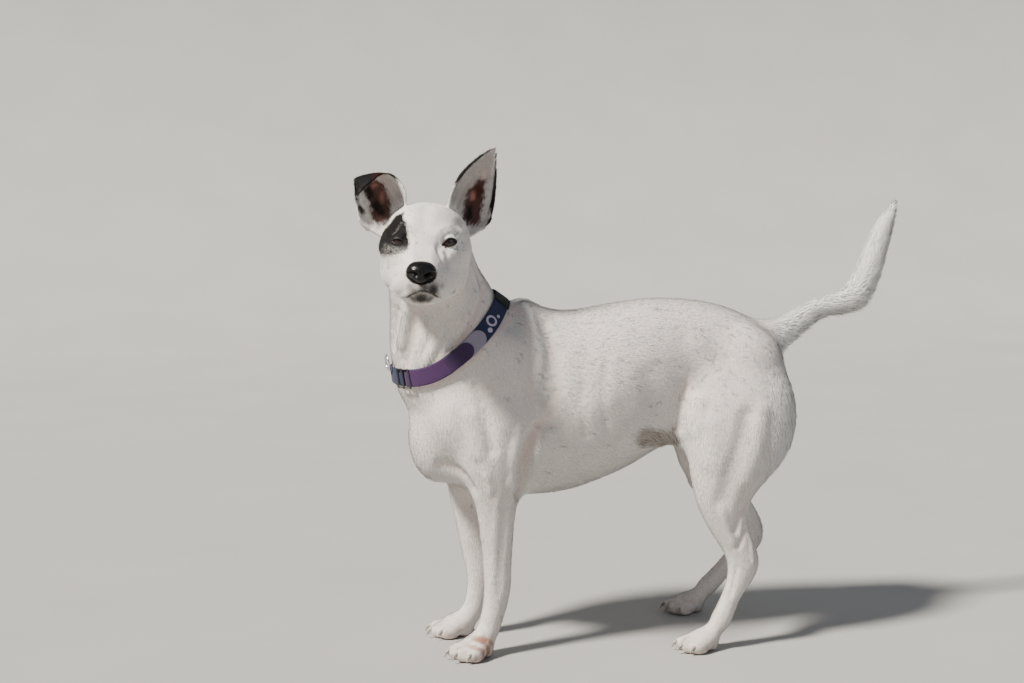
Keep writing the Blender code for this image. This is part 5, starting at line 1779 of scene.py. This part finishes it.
def hair_material():
    return painted_material("coat_hair", 420, 4, (0.86, 0.85, 0.84), (1, 1, 1), 0.25, 0.75,
                            Roughness=0.55, Sheen_Weight=0.02, Specular_IOR_Level=0.06)[0]


def skin_material():
    made, _ = painted_material("skin_under_coat", 700, 6, (0.8, 0.77, 0.75), (1, 1, 1),
                               Roughness=0.6, Sheen_Weight=0.02, Specular_IOR_Level=0.1)
    first = bump(made, noise_node(made, 900, 5), 0.0004, 0.6)
    bump(made, noise_node(made, 190, 3), 0.0009, 0.35, first)
    return made


def leather_material():
    """The nose leather, whose nostrils carry painted shade and aren't glossy."""
    gloss = 0.26
    made, paint = painted_material("nose_skin", 300, 3, (0.6, 0.6, 0.6), (1.2, 1.15, 1.12),
                                   Roughness=gloss, Specular_IOR_Level=0.26)
    stops = ((NOSE_TONE * 0.5, (1, 1, 1)), (NOSE_TONE * 0.95, (gloss, gloss, gloss)))
    wire(made, ramp(made, paint.outputs["Fac"], stops), shader_of(made).inputs["Roughness"])
    place = node(made, "ShaderNodeTexCoord")
    cells = node(made, "ShaderNodeTexVoronoi", Scale=800.0)
    wire(made, place.outputs["Object"], cells.inputs["Vector"])
    bump(made, cells.outputs["Distance"], 0.0003, 0.22)
    return made


def eye_material():
    return painted_material("eye_wet", 900, 4, (0.75, 0.72, 0.7), (1.15, 1.1, 1.05), Roughness=0.1,
                            Coat_Weight=0.4, Coat_Roughness=0.02, Specular_IOR_Level=0.35)[0]


def plain_material(name, low, high, scale, rough, depth, metal=0.0):
    """A finish with fine changes of colour and a fine grain."""
    made = material(name, Roughness=rough, Metallic=metal)
    coloured_by(made, ramp(made, noise_node(made, scale, 4), ((0.3, low), (0.7, high))))
    bump(made, noise_node(made, scale * 2.5, 4), depth, 0.5)
    return made


def sum_of(made, operation, *values, kind="ShaderNodeMath"):
    """The result of a sum whose values are numbers, places or other nodes' results."""
    found = node(made, kind, operation=operation)
    for place, value in enumerate(values):
        if isinstance(value, (int, float, tuple)):
            found.inputs[place].default_value = value
        else:
            wire(made, value, found.inputs[place])
    return found.outputs["Value"]


def weave_material(name, dark, light, pitch, motif=None, sheen=0.06):
    """Woven webbing: threads along and across, from its UV map in metres."""
    made = material(name, Roughness=0.78, Sheen_Weight=sheen, Specular_IOR_Level=0.3)
    place = node(made, "ShaderNodeUVMap", uv_map="weave")
    split = node(made, "ShaderNodeSeparateXYZ")
    wire(made, place.outputs["UV"], split.inputs["Vector"])
    across = sum_of(made, "SINE", sum_of(made, "MULTIPLY", split.outputs["Y"], 2 * math.pi / pitch))
    turn = sum_of(made, "MULTIPLY", split.outputs["X"], 2 * math.pi / (pitch * 1.5))
    along = sum_of(made, "SINE", sum_of(made, "ADD", turn, sum_of(made, "MULTIPLY", across, 1.2)))
    threads = sum_of(made, "MULTIPLY_ADD", along, 0.25, 0.5)
    fuzz = sum_of(made, "MULTIPLY_ADD", noise_node(made, 1500, 4), 0.5, threads)
    colour = ramp(made, fuzz, ((0.45, dark), (1.0, light)))
    if motif:
        colour = blend(made, "MIX", motif_mask(made, place.outputs["UV"], motif), colour, MOTIF_COLOUR)
    coloured_by(made, colour)
    bump(made, threads, 0.0005, 0.7)
    return made


def motif_mask(made, uv, marks):
    """Dots and curved strokes on the webbing: each is its place, radius and half width."""
    total = None
    for place, radius, half in marks:
        gap = sum_of(made, "DISTANCE", uv, (*place, 0), kind="ShaderNodeVectorMath")
        off = sum_of(made, "ABSOLUTE", sum_of(made, "SUBTRACT", gap, radius))
        inside = sum_of(made, "LESS_THAN", off, half)
        total = inside if total is None else sum_of(made, "MAXIMUM", total, inside)
    return total


def dressed(piece, finish, slot, *solids):
    """Puts a piece in place with its material, and hides the solids it stands for."""
    piece.data.materials.clear()
    piece.data.materials.append(finish)
    piece.data.transform(Matrix.Translation(SHIFT))
    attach(piece, "root")
    if solids:
        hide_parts(*solids)

# ------------------------------------------------------------------ building
HEAD_PLACE = turn_of_head()
skin = raw_skin()
plain = surface(skin)
frames = collar_path(plain)
LIP_LINE = modelled(skin)
pelt = Pelt(skin)
skin_points = sunk(skin, pelt)

rng = np.random.default_rng(5)
x, y, z = skin_points.T
side = (z > 0.24) * (0.15 + (x > -0.03)) * (x > -0.12) * np.exp(-(((z - 0.43) / 0.07) ** 2))
chance = (side + 0.06 * (z > 0.05)) * (pelt.bare < 0.1)
picked = rng.choice(len(skin_points), TICKS, replace=False, p=chance / chance.sum())
places = [*map(tuple, skin_points[picked]), *(tuple(plain.find_nearest(Vector(at))[0]) for at, _ in FLECKS)]
spots = (places, [*(0.001 + 0.0018 * rng.random(TICKS) ** 2), *(size for _, size in FLECKS)])

view = bpy.context.view_layer
for obj in view.objects:
    obj.select_set(False)
view.objects.active = skin
skin.select_set(True)
bpy.ops.object.mode_set(mode="EDIT")
bpy.ops.mesh.select_all(action="SELECT")
bpy.ops.uv.smart_project(angle_limit=math.radians(70), island_margin=0.002)
bpy.ops.object.mode_set(mode="OBJECT")
skin.data.uv_layers[0].name = "OFBake"
painted(smooth(skin), coloured(skin_points, pelt.ear, spots, 30, False))

collar_line = np.array([point for point, *_ in frames + frames[:1]])
hair = hair_material()
FLESH = ["head", "neck", "trunk", "tail"]
PAIRS = ("ear", "foreleg", "hindleg", "forepaw", "hindpaw")
FLESH += [part + side for part in PAIRS for side in ("_left", "_right")]
for piece in grow_coat(skin, pelt, spots, collar_line):
    dressed(piece, hair, "ear" if "ears" in piece.name else "coat")
dressed(skin, skin_material(), "coat", *FLESH)

wet = eye_material()
rim = plain_material("lid_skin", (0.006, 0.005, 0.005), (0.014, 0.01, 0.009), 800, 0.5, 0.0002)
for side in LIDS:
    dressed(eyeball(side), wet, "eye", "eye_" + side)
    dressed(lid_rim(side), rim, "eye")
dressed(made_nose(), leather_material(), "nose", "nose")
horn = plain_material("claw_horn", (0.16, 0.13, 0.11), (0.42, 0.36, 0.31), 160, 0.38, 0.0002)
dressed(claws(), horn, "coat")

NAVY = ((0.006, 0.009, 0.03), (0.022, 0.03, 0.085))
DARK_PURPLE = ((0.014, 0.006, 0.026), (0.05, 0.022, 0.08))
PURPLE = ((0.022, 0.007, 0.034), (0.068, 0.024, 0.096))
MAUVE = ((0.15, 0.135, 0.18), (0.3, 0.27, 0.34))
BLACK_WEB = ((0.003, 0.003, 0.004), (0.012, 0.012, 0.015))
SLIDE_BLACK = ((0.01, 0.01, 0.012), (0.024, 0.024, 0.028))
STEEL = ((0.55, 0.55, 0.56), (0.72, 0.72, 0.73))
# A plain motif for the band: each mark is its place, radius and half width.
MOTIF_COLOUR = (0.42, 0.37, 0.46)
MOTIF = (((0.082, 0.001), 0.0068, 0.0016), ((0.095, -0.005), 0.0, 0.0036), ((0.068, -0.004), 0.0, 0.0026))
finishes = {
    "navy_webbing": weave_material("navy_web", *NAVY, 0.0012, MOTIF),
    "black_webbing": weave_material("black_web", *BLACK_WEB, 0.0012, sheen=0.04),
    "mauve_webbing": weave_material("mauve_web", *MAUVE, 0.0011),
    "purple_webbing": weave_material("purple_web", *PURPLE, 0.0017),
    "dark_purple_webbing": weave_material("dark_purple_web", *DARK_PURPLE, 0.0012),
    "slide_plastic": plain_material("slide_black", *SLIDE_BLACK, 600, 0.5, 0.0001),
    "ring_steel": plain_material("ring_metal", *STEEL, 900, 0.22, 0.00005, 1.0),
}
for piece, slot, solid in whole_collar(frames):
    dressed(piece, finishes[slot], slot, *([solid] if solid else []))

# ------------------------------------------------------------------ floor, light and camera
FLOOR_FRONT, FLOOR_BACK, SWEEP_RADIUS, WALL_TOP = -9.0, 3.4, 3.0, 8.0
SWEEP = [(FLOOR_BACK + SWEEP_RADIUS * math.sin(turn), SWEEP_RADIUS * (1 - math.cos(turn)))
         for turn in np.radians(np.linspace(0, 90, 46))]
SWEEP = [(FLOOR_FRONT, 0.0), *SWEEP, (FLOOR_BACK + SWEEP_RADIUS, WALL_TOP)]
bm = bmesh.new()
rows = [[bm.verts.new((side * 12, y, z - 0.0002)) for side in (-1, 1)] for y, z in SWEEP]
for low, high in zip(rows, rows[1:]):
    bm.faces.new((low[0], low[1], high[1], high[0]))
floor = smooth(from_bmesh("floor", bm))
floor.data.materials.append(
    plain_material("floor_pale", (0.32, 0.315, 0.305), (0.34, 0.335, 0.325), 3, 0.85, 0.0002)
)

world = bpy.data.worlds.new("studio")
bpy.context.scene.world = world
world.use_nodes = True
backdrop = world.node_tree.nodes["Background"].inputs
backdrop["Color"].default_value = (0.78, 0.86, 1.0, 1)
backdrop["Strength"].default_value = 0.3


def lamp(name, kind, power, colour, way, place=(0, 0, 0)):
    """A light at the place that shines along the way."""
    light = bpy.data.lights.new(name, kind)
    light.energy = power
    light.color = colour
    made = linked(name, light)
    made.location = place
    made.rotation_euler = Vector(way).to_track_quat("-Z", "Y").to_euler()
    return light


lamp("key", "SUN", 10.4, (1.0, 0.94, 0.85), (0.85, 0.4, -1.0)).angle = math.radians(9)
fill = lamp("fill", "AREA", 30, (0.82, 0.9, 1.0), (-2.4, 3.6, -2.25), (2.4, -3.6, 2.6))
fill.shape = "DISK"
fill.size = 5.0

CAMERA_AT = Vector((-0.531, -2.41, 0.71))
CAMERA_YAW, CAMERA_PITCH = 10.0, 6.2
lens = bpy.data.cameras.new("photo")
lens.lens = 60
lens.sensor_width = 36
camera = linked("photo_camera", lens)
camera.location = CAMERA_AT + SHIFT
camera.rotation_euler = (math.radians(90 - CAMERA_PITCH), 0, math.radians(-CAMERA_YAW))
bpy.context.scene.camera = camera
